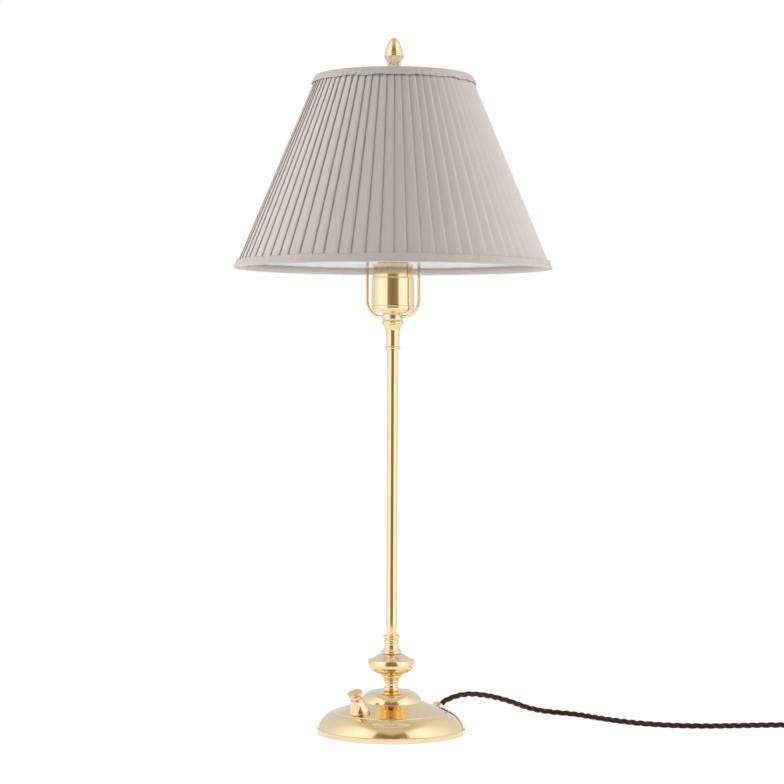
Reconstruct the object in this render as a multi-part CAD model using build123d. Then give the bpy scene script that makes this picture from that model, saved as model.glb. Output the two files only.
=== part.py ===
from build123d import *
import os
from math import atan, cos, degrees, hypot, pi, radians, sin, sqrt, tan

# A candlestick table lamp: a spun brass foot over an iron weight, turned brass spindles threaded on
# one long tube, a push switch on the foot, a brass lampholder inside a wire harp, and a knife-pleated
# cone shade held on the harp's stud by an acorn finial. Millimetres, +Z up, the origin at the middle
# of the foot on the table, and the side of the lamp that is seen first towards -Y.

# ---- driving sizes -----------------------------------------------------------------------------

# fits between neighbouring pieces
slide_fit = 0.1  # radial, a turned piece on the tube
turn_fit = 0.08  # radial, a shaft that turns or slides in its bore
seat_gap = 0.3  # between pieces that move past each other
cloth_gap = 0.2  # between the layers of the shade
iron_gap = 0.5  # between the casting and what surrounds it
past = 40.0  # a cutting bar runs this far past what it cuts

# foot
foot_radius = 70.0
foot_height = 38.6
foot_wall = 1.2
rim_lift = 0.6  # the brass stays this far off the table
rim_height = 4.6
rim_step = 0.9  # the shoulder starts this far inside the rim band
rim_groove = 0.7  # height of the step above the rim band
shoulder_radius = 52.5  # where the round shoulder meets the slope
shoulder_height = 20.3
shoulder_rise = 2.6  # how far the shoulder's arc stands off its chord
turned_line_width = 1.2  # the fine bead where the shoulder ends
turned_line_drop = 0.4  # from its inner edge to its outer one
turned_line_rise = 0.25
slope_radius = 28.8  # where the slope meets the boss
slope_height = 29.4
slope_sink = 0.4
boss_radius = 19.5  # flat top of the boss
boss_rise = 1.7
felt_thickness = 2.0
felt_inset = 2.2  # the felt's edge, inside the rim's inner wall
weight_chamber_radius = 33.0
weight_chamber_top = 18.0
washer_radius = 13.0
washer_thickness = 1.5
nut_across_flats = 17.0
nut_height = 5.0

# column: a tube that clamps the turned pieces, bottom to top
tube_radius = 5.0
tube_bore_radius = 4.0
tube_tail = 1.0  # the tube's end below the nut
stem_length = 266.0  # bare tube between the upper spindle and the bushing

# turned steps from the bottom up: rise, radius at the step's top, and how far its arc stands
# outside the straight line (a cove is negative)
lower_spindle_foot_radius = 6.4
lower_spindle_steps = [
    (4.2, 6.4, 1.3),
    (4.4, 6.5, -0.45),
    (1.8, 6.5, 0.7),
    (0.6, 7.2, 0.0),
    (1.4, 8.3, 0.2),
    (4.0, 8.3, 1.5),
]
knop_foot_radius = 9.4
knop_steps = [
    (6.8, 21.9, 2.2),
    (6.5, 21.2, 0.6),
    (0.6, 18.2, 0.0),
    (4.9, 10.2, 0.5),
]
upper_spindle_foot_radius = 8.6
upper_spindle_steps = [
    (3.2, 8.6, 1.2),
    (6.2, 6.5, -0.7),
    (0.8, 6.3, 0.0),
    (2.6, 6.3, 0.7),
    (1.2, 6.7, -0.1),
    (3.4, 6.7, 1.4),
    (0.8, 6.1, 0.0),
]
bushing_foot_radius = 6.2
bushing_steps = [
    (1.2, 6.2, 0.0),
    (2.8, 6.2, 1.0),
    (11.0, 6.3, 0.0),
    (8.9, 9.1, -0.9),
    (0.4, 9.1, 0.0),
    (3.9, 9.1, 1.2),
]

# harp
saddle_foot_radius = 9.2
saddle_steps = [(6.5, 9.2, 0.6)]
harp_wire_radius = 1.55
harp_turn = -30.0  # degrees about Z, from +X towards the back
harp_leg_reach = 28.0  # axis to the straight lower legs
harp_bow_reach = 43.0  # axis to the wider upper legs
harp_foot_bend = 15.5
harp_leg_length = 44.0
harp_flare_length = 67.0
harp_length = 216.45  # from the wire's feet in the saddle to the top of the arch
harp_boss_radius = 5.5
harp_boss_under = 2.0  # brass under the wire in the boss
harp_boss_over = 2.45
stud_radius = 3.1
stud_length = 17.0

# lampholder
holder_radius = 20.0
holder_wall = 0.9
holder_gap = 0.3  # between the saddle and the cap
cap_round = 5.6
cap_bead = 0.6
cap_spigot = 5.0
shell_height = 25.4
shell_step = 1.3
collar_radius = 19.0
collar_height = 12.3
core_radius = 15.6
core_height = 9.0
core_lift = 2.4  # the ceramic's underside above the cap's floor
sleeve_wall = 0.5
sleeve_height = 21.0
contact_radius = 3.2
contact_height = 1.6

# bulb
bulb_cap_radius = 13.15
bulb_cap_height = 20.0
bulb_tip_radius = 4.6
bulb_tip_height = 1.2
bulb_insulator_radius = 9.5
bulb_insulator_height = 2.4
bulb_thread_fit = 0.35
bulb_neck_radius = 14.3
bulb_neck_height = 9.5
bulb_radius = 30.0
bulb_flare_height = 36.0
bulb_flare_sink = 2.2
bulb_skirt_height = 2.5

# shade
shade_height = 180.0
shade_bottom_radius = 149.4
shade_top_radius = 73.8
pleats = 72
pleat_depth = 1.6
pleat_share = 0.86  # of the pitch that is the outward ramp, the rest steps back
cover_wall = 0.8
lining_wall = 0.6
shade_wire_radius = 1.5
strut_wire_radius = 1.2
arm_wire_radius = 1.2
struts = 8
first_strut = -5.0  # degrees from +Y
trim_wall = 0.9
trim_height = 8.0
trim_turn_in = 6.0
hub_radius = 12.5
hub_thickness = 2.4
spider_arms = 3
first_arm = 90.0
finial_foot_radius = 6.4
finial_steps = [
    (3.0, 6.4, 0.2),
    (8.3, 5.2, -0.3),
    (6.8, 8.9, -0.9),
    (0.5, 9.3, 0.0),
    (2.0, 9.3, 0.3),
    (0.3, 8.5, 0.0),
    (1.2, 8.5, 0.3),
    (0.3, 8.0, 0.0),
    (14.0, 1.0, 1.45),
]
finial_crown = 0.7

# switch, on the foot's front left shoulder
switch_angle = -130.5  # degrees about Z, from +X
switch_reach = 43.9  # axis of the lamp to where the switch stands
switch_tilt = 22.0  # outward, from upright
switch_foot_radius = 8.4
switch_foot_height = 1.9
bell_foot_radius = 8.9
bell_lip = 1.1  # the straight lip round its foot
bell_waist_radius = 5.6
bell_sink = 0.3
bell_top_radius = 5.8
bell_bead = 1.2
bell_height = 12.5
switch_neck_radius = 5.0
switch_neck_height = 5.0
switch_body_radius = 8.0
switch_body_top = 5.6  # under the foot's surface, along the switch
switch_body_length = 9.0
button_neck_radius = 4.5
button_neck_show = 3.0  # between the bell and where the head flares
button_flare = 1.4
button_flare_radius = 6.2
button_head_radius = 6.9
button_head_height = 2.7
button_head_round = 0.8
button_crown = 0.3
button_travel = 2.5
plunger_radius = 2.0
plunger_length = 10.0

# cord: three twisted cores in cloth, drawn as one round tube
cord_radius = 2.7
exit_angle = 36.0  # degrees about Z, the way the cord leaves
exit_rise = 40.0  # degrees above level
exit_place_angle = 36.5  # degrees about Z, where its outlet stands
exit_inset = 14.45  # from the foot's edge to where the outlet stands
exit_sink = 0.7  # under the foot's surface there
ferrule_radius = 4.6
ferrule_fit = 0.25
ferrule_flange_radius = 6.2
ferrule_flange = 1.4
ferrule_show = 3.2  # the mouth, out from where its flange starts
ferrule_length = 12.0
wireway_radius = 6.4
wireway_top = 12.0

# where the free cord runs, from the mouth to the coil, chosen point by point
cord_route = [
    (70.0, 51.3, 29.2),
    (92.5, 66.5, 25.4),
    (115.0, 81.5, 17.6),
    (137.5, 97.0, 7.2),
    (158.5, 108.5, 2.7),
    (181.0, 97.5, 2.7),
    (204.5, 69.5, 2.7),
    (228.0, 47.5, 2.7),
    (256.5, 32.0, 2.7),
    (292.0, 25.5, 2.7),
    (330.0, 29.5, 2.7),
    (366.0, 35.5, 2.7),
    (397.0, 32.0, 2.7),
]
exit_run = 12.5  # straight out of the ferrule

# coil of the put-away length, two layers of turns
coil_start = (430.0, 32.0)
coil_outer_radius = 39.7
coil_gap = 0.5  # between turns, and between the layers
coil_half_turns = 7  # in the lower layer, and one less in the upper

# plug, lying on its back
plug_radius = 19.0
plug_height = 24.0
plug_edge = 2.5
boot_tip_radius = 3.1
boot_root_radius = 6.0
boot_length = 24.0
pin_radius = 2.4
pin_length = 19.0
pin_spread = 19.0
clip_width = 5.0
clip_thickness = 0.8
clip_height = 13.0
clip_sink = 1.6
clip_fit = 0.5
pin_tip_round = 1.2

# leads inside the foot and the tube
lead_radius = 1.9
lead_bend = 5.0
tail_bend = 9.0
block_size = (14.0, 9.0, 8.0)
block_centre = (3.5, 20.0)
block_lift = 1.0  # over the felt


# ---- shared ways of making ---------------------------------------------------------------------


def outline(start, steps):
    """The upright half outline of a turned piece: straight lines, and arcs where a step has a bulge."""
    edges = []
    here = start
    for radius, height, bulge in steps:
        there = (radius, height)
        if bulge:
            middle = Vector((here[0] + there[0]) / 2, (here[1] + there[1]) / 2)
            way = (Vector(*there) - Vector(*here)).normalized()
            middle += Vector(way.Y, -way.X) * bulge
            edges.append(ThreePointArc(here, (middle.X, middle.Y), there))
        else:
            edges.append(Line(here, there))
        here = there
    edges.append(Line(here, start))
    return edges


def turned(start, steps):
    """A solid turned about Z from its half outline."""
    return revolve(Plane.XZ * make_face(outline(start, steps)), Axis.Z)


def turned_stack(foot, foot_radius_here, steps, bore):
    """A turned piece with a bore, from its steps: each rises above the one before it."""
    height = foot
    corners = [(foot_radius_here, foot, 0.0)]
    for rise, radius, bulge in steps:
        height += rise
        corners.append((radius, height, bulge))
    corners.append((bore, height, 0.0))
    return turned((bore, foot), corners)


def rise_of(steps):
    return sum(step[0] for step in steps)


def crown(radius, rise):
    """The bulge of an arc that reaches the axis level, after rising from a radius."""
    return hypot(radius, rise) / 2 * tan(atan(rise / radius) / 2)


def rod(radius, low, high, inner=0.0):
    """An upright round bar or tube on the lamp's axis."""
    bar = Pos(0, 0, (low + high) / 2) * Cylinder(radius, high - low)
    if inner:
        bar -= Pos(0, 0, (low + high) / 2) * Cylinder(inner, high - low)
    return bar


def round_tube(path, radius):
    """A round section swept along a path of lines and arcs."""
    return sweep(Plane(path @ 0, z_dir=path % 0) * Circle(radius), path)


def softened(points):
    """A path through a cord's points: at each corner an arc as large as its two runs allow."""
    corners = [Vector(*point) for point in points]
    radii = []
    for before, corner, after in zip(corners, corners[1:], corners[2:]):
        turn = (corner - before).get_angle(after - corner)
        shorter = min((corner - before).length, (after - corner).length)
        radii.append(0.45 * shorter / tan(radians(turn) / 2))
    return FilletPolyline(*points, radius=radii), radii


# ---- foot --------------------------------------------------------------------------------------


def foot_outline(inset, bottom):
    """The corners of the foot's outside, from the floor to the axis, drawn in all round by inset."""
    corners = [
        (foot_radius, rim_height, 0.0),
        (foot_radius - rim_step, rim_height + rim_groove, 0.0),
        (shoulder_radius + turned_line_width, shoulder_height - turned_line_drop, shoulder_rise),
        (shoulder_radius, shoulder_height, turned_line_rise),
        (slope_radius, slope_height, -slope_sink),
        (boss_radius, foot_height, boss_rise),
    ]
    drawn_in = [(radius - inset, height - inset, bulge) for radius, height, bulge in corners]
    return [(foot_radius - inset, bottom, 0.0)] + drawn_in + [(0.0, foot_height - inset, 0.0)]


def foot_form(inset, bottom):
    """The solid inside that outline, cut off level at bottom."""
    return turned((0.0, bottom), foot_outline(inset, bottom))


def foot_surface(reach):
    """The height of the foot's outside at a distance from the axis, halved down to on its edge."""
    for edge in outline((0.0, 0.0), foot_outline(0.0, 0.0))[2:-2]:
        if (edge @ 0).X >= reach >= (edge @ 1).X:
            low, high = 0.0, 1.0
            while high - low > 1e-6:
                middle = (low + high) / 2
                if (edge @ middle).X > reach:
                    low = middle
                else:
                    high = middle
            return (edge @ low).Y
    return foot_height


def standing_on_foot(angle, reach, sink):
    """A point under the foot's surface, at an angle and a distance from the axis."""
    turn = radians(angle)
    return Vector(reach * cos(turn), reach * sin(turn), foot_surface(reach) - sink)


def slanting(angle, rise):
    """A direction of length one, from its angle about Z and its rise above level."""
    turn = radians(angle)
    level = cos(radians(rise))
    return Vector(level * cos(turn), level * sin(turn), sin(radians(rise)))


switch_way = slanting(switch_angle, 90.0 - switch_tilt)
switch_point = standing_on_foot(switch_angle, switch_reach, 0.0)
switch_place = Plane(switch_point, z_dir=switch_way).location
exit_way = slanting(exit_angle, exit_rise)
exit_foot = standing_on_foot(exit_place_angle, foot_radius - exit_inset, exit_sink)
exit_point = exit_foot + exit_way * ferrule_show
exit_place = Plane(exit_foot, z_dir=exit_way).location


def along(place, radius, low, high):
    """A round bar on a tilted axis, between two distances along it."""
    return place * Pos(0, 0, (low + high) / 2) * Cylinder(radius, high - low)


def slot_from_centre(angle, reach, radius, low, high):
    """A level channel with a round end, from the lamp's axis outwards."""
    channel = Pos(reach / 2, 0, (low + high) / 2) * Box(reach, 2 * radius, high - low)
    channel += Pos(reach, 0, (low + high) / 2) * Cylinder(radius, high - low)
    return Rot(0, 0, angle) * channel


def make_foot():
    tube_hole = tube_radius + slide_fit
    shell = foot_form(0.0, rim_lift) - foot_form(foot_wall, 0.0)
    shell -= rod(tube_hole, 0, foot_height)
    shell -= along(switch_place, switch_neck_radius + slide_fit, -past, switch_foot_height)
    shell -= along(exit_place, ferrule_radius + slide_fit, -past, ferrule_show)

    felt_radius = foot_radius - foot_wall - felt_inset
    felt = rod(felt_radius, 0, felt_thickness)

    weight = foot_form(foot_wall + iron_gap, felt_thickness + seat_gap)
    weight -= rod(tube_hole + iron_gap, 0, foot_height)
    weight -= rod(weight_chamber_radius, 0, weight_chamber_top)
    pocket = switch_body_radius + iron_gap
    weight -= along(switch_place, pocket, -past, switch_foot_height)
    to_switch = switch_reach - pocket
    weight -= slot_from_centre(switch_angle, to_switch, wireway_radius, felt_thickness, wireway_top)
    weight -= along(exit_place, wireway_radius + iron_gap, -past, ferrule_show)
    to_outlet = hypot(exit_point.X, exit_point.Y) - ferrule_length
    weight -= slot_from_centre(exit_angle, to_outlet, wireway_radius, felt_thickness, wireway_top)

    washer_foot = weight_chamber_top - washer_thickness
    washer = rod(washer_radius, washer_foot, weight_chamber_top, tube_hole)
    nut = Pos(0, 0, washer_foot - nut_height) * extrude(
        RegularPolygon(nut_across_flats / 2, 6, major_radius=False), nut_height
    )
    nut -= rod(tube_hole, 0, weight_chamber_top)
    return {
        "foot_shell": shell,
        "felt_pad": felt,
        "foot_weight": weight,
        "foot_washer": washer,
        "foot_nut": nut,
    }


# ---- column ------------------------------------------------------------------------------------

knop_foot = foot_height + rise_of(lower_spindle_steps)
upper_spindle_foot = knop_foot + rise_of(knop_steps)
stem_foot = upper_spindle_foot + rise_of(upper_spindle_steps)
bushing_foot = stem_foot + stem_length
saddle_foot = bushing_foot + rise_of(bushing_steps)
saddle_top = saddle_foot + rise_of(saddle_steps)
cap_foot = saddle_top + holder_gap
cap_floor = cap_foot + holder_wall
tube_foot = weight_chamber_top - washer_thickness - nut_height - tube_tail
tube_top = cap_floor + core_lift / 2


def make_column():
    bore = tube_radius + slide_fit
    return {
        "lower_spindle": turned_stack(foot_height, lower_spindle_foot_radius, lower_spindle_steps, bore),
        "knop": turned_stack(knop_foot, knop_foot_radius, knop_steps, bore),
        "upper_spindle": turned_stack(
            upper_spindle_foot, upper_spindle_foot_radius, upper_spindle_steps, bore
        ),
        "stem_tube": rod(tube_radius, tube_foot, tube_top, tube_bore_radius),
        "top_bushing": turned_stack(bushing_foot, bushing_foot_radius, bushing_steps, bore),
    }


# ---- harp --------------------------------------------------------------------------------------

harp_foot = (saddle_foot + saddle_top) / 2
harp_top = harp_foot + harp_length
harp_seat = harp_top + harp_wire_radius + harp_boss_over


def harp_path():
    """The bow's centre line: in from the saddle, up the legs, out to the wider bow, and over."""
    inner_end = tube_radius + 2 * slide_fit
    leg_foot = harp_foot + harp_foot_bend
    leg_top = leg_foot + harp_leg_length
    bow_foot = leg_top + harp_flare_length
    arch_foot = harp_top - harp_bow_reach
    flare = (harp_leg_reach + harp_bow_reach) / 2
    flare_height = (leg_top + bow_foot) / 2
    bend = harp_foot_bend * (1 - sqrt(0.5))
    arch = harp_bow_reach * sqrt(0.5)
    edges = []
    for side in (1, -1):
        leg = [
            Line((side * inner_end, harp_foot), (side * (harp_leg_reach - harp_foot_bend), harp_foot)),
            ThreePointArc(
                (side * (harp_leg_reach - harp_foot_bend), harp_foot),
                (side * (harp_leg_reach - bend), harp_foot + bend),
                (side * harp_leg_reach, leg_foot),
            ),
            Line((side * harp_leg_reach, leg_foot), (side * harp_leg_reach, leg_top)),
            TangentArc((side * harp_leg_reach, leg_top), (side * flare, flare_height), tangent=(0, 1)),
            TangentArc(
                (side * harp_bow_reach, bow_foot), (side * flare, flare_height), tangent=(0, -1)
            ),
            Line((side * harp_bow_reach, bow_foot), (side * harp_bow_reach, arch_foot)),
            ThreePointArc(
                (side * harp_bow_reach, arch_foot), (side * arch, arch_foot + arch), (0, harp_top)
            ),
        ]
        edges += leg
    return Rot(0, 0, harp_turn) * (Plane.XZ * Wire(edges))


def make_harp():
    path = harp_path()
    bow = round_tube(path, harp_wire_radius)
    socket = round_tube(path, harp_wire_radius + slide_fit)
    saddle = turned_stack(saddle_foot, saddle_foot_radius, saddle_steps, tube_radius + slide_fit) - socket
    boss = rod(harp_boss_radius, harp_top - harp_wire_radius - harp_boss_under, harp_seat)
    boss += rod(stud_radius, harp_seat, harp_seat + stud_length)
    return {"harp_saddle": saddle, "harp_bow": bow, "harp_stud": boss - socket}


# ---- lampholder and bulb -----------------------------------------------------------------------

cap_top = cap_foot + cap_round + 2 * cap_bead
collar_foot = cap_top + shell_height + shell_step
collar_top = collar_foot + collar_height
core_foot = cap_floor + core_lift
core_top = core_foot + core_height
tip_foot = core_top + contact_height + seat_gap
bulb_cap_foot = tip_foot + bulb_tip_height + bulb_insulator_height
bulb_cap_top = bulb_cap_foot + bulb_cap_height
bulb_neck_top = bulb_cap_top + bulb_neck_height
bulb_flare_top = bulb_neck_top + bulb_flare_height
bulb_skirt_top = bulb_flare_top + bulb_skirt_height
sleeve_radius = bulb_cap_radius + bulb_thread_fit


def make_lampholder():
    entry = tube_radius + slide_fit
    spigot_top = cap_top + cap_spigot
    spigot = holder_radius - holder_wall - slide_fit
    inside = spigot - holder_wall
    floor_radius = holder_radius - cap_round
    cap = turned(
        (entry, cap_foot),
        [
            (floor_radius, cap_foot, 0.0),
            (holder_radius, cap_foot + cap_round, cap_round * (1 - sqrt(0.5))),
            (holder_radius, cap_top, cap_bead),
            (spigot, cap_top, 0.0),
            (spigot, spigot_top, 0.0),
            (inside, spigot_top, 0.0),
            (inside, cap_foot + cap_round, 0.0),
            (floor_radius, cap_floor, -holder_wall),
            (entry, cap_floor, 0.0),
        ],
    )
    shell = turned(
        (holder_radius - holder_wall, cap_top + slide_fit),
        [
            (holder_radius, cap_top + slide_fit, 0.0),
            (holder_radius, cap_top + shell_height, 0.0),
            (collar_radius, collar_foot, 0.0),
            (collar_radius, collar_top - holder_wall, 0.0),
            (collar_radius - holder_wall, collar_top, holder_wall / 3),
            (collar_radius - 2 * holder_wall, collar_top - holder_wall, holder_wall / 3),
            (collar_radius - holder_wall, collar_top - 2 * holder_wall, 0.0),
            (collar_radius - holder_wall, collar_foot, 0.0),
            (holder_radius - holder_wall, cap_top + shell_height, 0.0),
        ],
    )
    lead_hole = lead_radius + iron_gap
    core = rod(core_radius, core_foot, core_top, lead_hole)
    core_seat = rod(inside - slide_fit, core_foot + core_height / 2, core_top, core_radius)
    sleeve = rod(sleeve_radius + sleeve_wall, core_top, core_top + sleeve_height, sleeve_radius)
    contact = rod(contact_radius, core_top, core_top + contact_height)
    return {
        "lampholder_cap": cap,
        "lampholder_shell": shell,
        "lampholder_core": core + core_seat,
        "lampholder_sleeve": sleeve,
        "lampholder_contact": contact,
    }


def make_bulb():
    insulator_foot = tip_foot + bulb_tip_height
    cap = rod(bulb_tip_radius, tip_foot, insulator_foot)
    cap += turned(
        (0.0, insulator_foot),
        [
            (bulb_tip_radius, insulator_foot, 0.0),
            (bulb_insulator_radius, bulb_cap_foot, 0.4),
            (bulb_cap_radius, bulb_cap_foot, 0.0),
            (bulb_cap_radius, bulb_cap_top, 0.0),
            (0.0, bulb_cap_top, 0.0),
        ],
    )
    housing = turned(
        (0.0, bulb_cap_top),
        [
            (bulb_neck_radius, bulb_cap_top, 0.0),
            (bulb_neck_radius, bulb_neck_top, 0.0),
            (bulb_radius, bulb_flare_top, -bulb_flare_sink),
            (bulb_radius, bulb_skirt_top, 0.0),
            (0.0, bulb_skirt_top, 0.0),
        ],
    )
    globe = turned(
        (0.0, bulb_skirt_top),
        [
            (bulb_radius, bulb_skirt_top, 0.0),
            (0.0, bulb_skirt_top + bulb_radius, crown(bulb_radius, bulb_radius)),
        ],
    )
    return {"bulb_cap": cap, "bulb_housing": housing, "bulb_globe": globe}


# ---- shade -------------------------------------------------------------------------------------

shade_wire_height = harp_seat + seat_gap + hub_thickness / 2
cover_top = shade_wire_height + shade_wire_radius
shade_top = cover_top + cloth_gap + trim_wall
shade_bottom = shade_top - shade_height
cover_bottom = shade_bottom + trim_wall + cloth_gap
ring_height = cover_bottom + shade_wire_radius
cone_slope = (shade_bottom_radius - shade_top_radius) / shade_height
cone_lean = degrees(atan(cone_slope))
crest_inset = trim_wall + cloth_gap
wire_room = (shade_wire_radius + cloth_gap) / cos(radians(cone_lean))
wire_inset = crest_inset + pleat_depth + cover_wall + wire_room
lining_inset = wire_inset + wire_room
trim_inset = lining_inset + lining_wall + cloth_gap


def cone(height, inset):
    """The radius of the shade's outside at a height, drawn in level by inset."""
    return shade_bottom_radius - (height - shade_bottom) * cone_slope - inset


def cone_band(low, high, outer_inset, inner_inset):
    """A thin cone between two insets and two heights."""
    return turned(
        (cone(low, inner_inset), low),
        [
            (cone(low, outer_inset), low, 0.0),
            (cone(high, outer_inset), high, 0.0),
            (cone(high, inner_inset), high, 0.0),
        ],
    )


def pleat_ring(height):
    """The zigzag outside of the cover at a height: each pleat ramps out, then steps back."""
    crest = cone(height, crest_inset)
    corners = []
    for pleat in range(pleats):
        start = 2 * pi * pleat / pleats
        fold = start + 2 * pi * pleat_share / pleats
        corners.append(((crest - pleat_depth) * cos(start), (crest - pleat_depth) * sin(start)))
        corners.append((crest * cos(fold), crest * sin(fold)))
    return Pos(0, 0, height) * make_face(Polyline(*corners, close=True))


def trim_band(edge, inward):
    """A folded bias band over an edge of the shade: outside, over the edge, and back up inside."""
    outer_end = edge + inward * trim_height
    inner_end = edge + inward * trim_turn_in
    lip = edge + inward * trim_wall
    corners = [
        (cone(outer_end, 0.0), outer_end, 0.0),
        (cone(outer_end, trim_wall), outer_end, 0.0),
        (cone(lip, trim_wall), lip, 0.0),
        (cone(lip, trim_inset), lip, 0.0),
        (cone(inner_end, trim_inset), inner_end, 0.0),
        (cone(inner_end, trim_inset + trim_wall), inner_end, 0.0),
        (cone(edge, trim_inset + trim_wall), edge, 0.0),
    ]
    return turned((cone(edge, 0.0), edge), corners)


def make_shade():
    blank = loft([pleat_ring(cover_bottom), pleat_ring(cover_top)], ruled=True)
    cavity_inset = crest_inset + pleat_depth + cover_wall
    cavity = turned(
        (0.0, cover_bottom),
        [
            (cone(cover_bottom, cavity_inset), cover_bottom, 0.0),
            (cone(cover_top, cavity_inset), cover_top, 0.0),
            (0.0, cover_top, 0.0),
        ],
    )
    lining = cone_band(cover_bottom, cover_top, lining_inset, lining_inset + lining_wall)

    top_ring_radius = cone(shade_wire_height, wire_inset)
    bottom_ring_radius = cone(ring_height, wire_inset)
    hub_foot = shade_wire_height - hub_thickness / 2
    spider = Pos(0, 0, shade_wire_height) * Torus(top_ring_radius, shade_wire_radius)
    spider += rod(hub_radius, hub_foot, hub_foot + hub_thickness)
    top_trim = trim_band(shade_top, -1)
    for arm in range(spider_arms):
        turn = Rot(0, 0, first_arm + 360 * arm / spider_arms)
        reach = turn * Pos(top_ring_radius / 2, 0, shade_wire_height) * Rot(0, 90, 0)
        spider += reach * Cylinder(arm_wire_radius, top_ring_radius)
        slit = reach * Cylinder(arm_wire_radius + cloth_gap, top_ring_radius)
        lining -= slit
        top_trim -= slit
    spider -= rod(stud_radius + turn_fit, hub_foot, hub_foot + hub_thickness)
    ring = Pos(0, 0, ring_height) * Torus(bottom_ring_radius, shade_wire_radius)

    clear = shade_wire_radius + cloth_gap
    low = Vector(bottom_ring_radius, 0, ring_height)
    high = Vector(top_ring_radius, 0, shade_wire_height)
    way = (high - low).normalized()
    strut_length = (high - low).length - 2 * clear
    strut_place = Plane((low + high) * 0.5, z_dir=way).location
    all_struts = []
    for strut in range(struts):
        turn = Rot(0, 0, 90 + first_strut + 360 * strut / struts)
        all_struts.append(turn * strut_place * Cylinder(strut_wire_radius, strut_length))
    return {
        "shade_cover": blank - cavity,
        "shade_lining": lining,
        "shade_spider": spider,
        "shade_bottom_ring": ring,
        "shade_struts": Compound(all_struts),
        "shade_top_trim": top_trim,
        "shade_bottom_trim": trim_band(shade_bottom, 1),
    }


# ---- finial ------------------------------------------------------------------------------------

finial_foot = shade_wire_height + hub_thickness / 2 + seat_gap


def make_finial():
    height = finial_foot
    corners = [(finial_foot_radius, finial_foot, 0.0)]
    for rise, radius, bulge in finial_steps:
        height += rise
        corners.append((radius, height, bulge))
    corners.append((0.0, height + finial_crown, crown(radius, finial_crown)))
    body = turned((0.0, finial_foot), corners)
    return {"finial": body - rod(stud_radius + turn_fit, finial_foot, harp_seat + stud_length + seat_gap)}


# ---- switch ------------------------------------------------------------------------------------


def turned_on(place, start, steps):
    """A turned piece on a tilted axis."""
    return place * turned(start, steps)


bell_top = switch_foot_height + bell_height
neck_foot = switch_neck_height + seat_gap + button_travel
flare_foot = bell_top + button_neck_show
head_foot = flare_foot + button_flare
head_top = head_foot + button_head_height


def make_switch():
    on_foot = foot_form(-slide_fit, 0.0)
    thread = switch_neck_radius + slide_fit
    ring = along(switch_place, switch_foot_radius, -switch_foot_radius, switch_foot_height)
    ring -= along(switch_place, thread, -switch_foot_radius, switch_foot_height)
    bell_lip_top = switch_foot_height + bell_lip
    bell = turned_on(
        switch_place,
        (thread, switch_foot_height),
        [
            (bell_foot_radius, switch_foot_height, 0.0),
            (bell_foot_radius, bell_lip_top, bell_lip / 4),
            (bell_waist_radius, bell_top - bell_bead, -bell_sink),
            (bell_top_radius, bell_top - bell_bead, 0.0),
            (bell_top_radius, bell_top, bell_bead / 4),
            (button_neck_radius + turn_fit, bell_top, 0.0),
            (button_neck_radius + turn_fit, switch_neck_height + slide_fit, 0.0),
            (thread, switch_neck_height + slide_fit, 0.0),
        ],
    )
    body_low = -switch_body_top - switch_body_length
    body = along(switch_place, switch_body_radius, body_low, -switch_body_top)
    body += along(switch_place, switch_neck_radius, -switch_body_top, switch_neck_height)
    plunger_foot = neck_foot - plunger_length
    plunger_end = plunger_foot - button_travel - seat_gap
    body -= along(switch_place, plunger_radius + turn_fit, plunger_end, switch_neck_height)
    button = turned_on(
        switch_place,
        (0.0, plunger_foot),
        [
            (plunger_radius, plunger_foot, 0.0),
            (plunger_radius, neck_foot, 0.0),
            (button_neck_radius, neck_foot, 0.0),
            (button_neck_radius, flare_foot, 0.0),
            (button_flare_radius, head_foot, -button_flare / 6),
            (button_head_radius, head_top - button_head_round, button_flare / 6),
            (button_head_radius - button_head_round, head_top, button_head_round / 4),
            (0.0, head_top + button_crown, crown(button_head_radius - button_head_round, button_crown)),
        ],
    )
    return {
        "switch_ring": ring - on_foot,
        "switch_bell": bell,
        "switch_body": body,
        "switch_button": button,
    }


# ---- cord, coil, plug and leads ----------------------------------------------------------------


def coil_path():
    """Half turns that spiral in on the floor, climb a layer at the middle, and spiral out on top."""
    pitch = 2 * cord_radius + coil_gap
    draw = pitch / 2  # a half turn is this much smaller than the one before it
    low = cord_radius
    high = cord_radius + pitch
    run = 2 * cord_radius
    x, y = coil_start
    centre = y + coil_outer_radius
    edges = [Line((x - run, y, low), (x, y, low))]
    here = Vector(x, y, low)
    radius = coil_outer_radius
    heading = 1
    for half in range(2 * coil_half_turns):
        level = low if half < coil_half_turns else high
        there = Vector(x, here.Y + heading * 2 * radius, level)
        side = Vector(heading * (there - here).length / 2, 0, 0)
        edges.append(ThreePointArc(here, (here + there) * 0.5 + side, there))
        here = there
        heading = -heading
        if half < coil_half_turns:
            radius -= draw
        else:
            radius += draw
    corner = here + Vector(coil_outer_radius, coil_outer_radius, 0)
    middle = here + Vector(coil_outer_radius * sqrt(0.5), coil_outer_radius * (1 - sqrt(0.5)), 0)
    edges.append(ThreePointArc(here, middle, corner))
    end = corner + Vector(0, run, 0)
    edges.append(Line(corner, end))
    return edges, end


def least_gap(edges, radius):
    """The least distance between the tube's own turns, measured on points along its centre line."""
    step = radius / 2
    points = []
    for edge in edges:
        count = max(2, int(edge.length / step))
        points += [edge @ (i / count) for i in range(count)]
    apart = int(8 * radius / step)  # nearer along the tube than this isn't another turn
    least = min(
        (points[i] - points[j]).length
        for i in range(0, len(points), 2)
        for j in range(i + apart, len(points))
    )
    return least - 2 * radius


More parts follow.
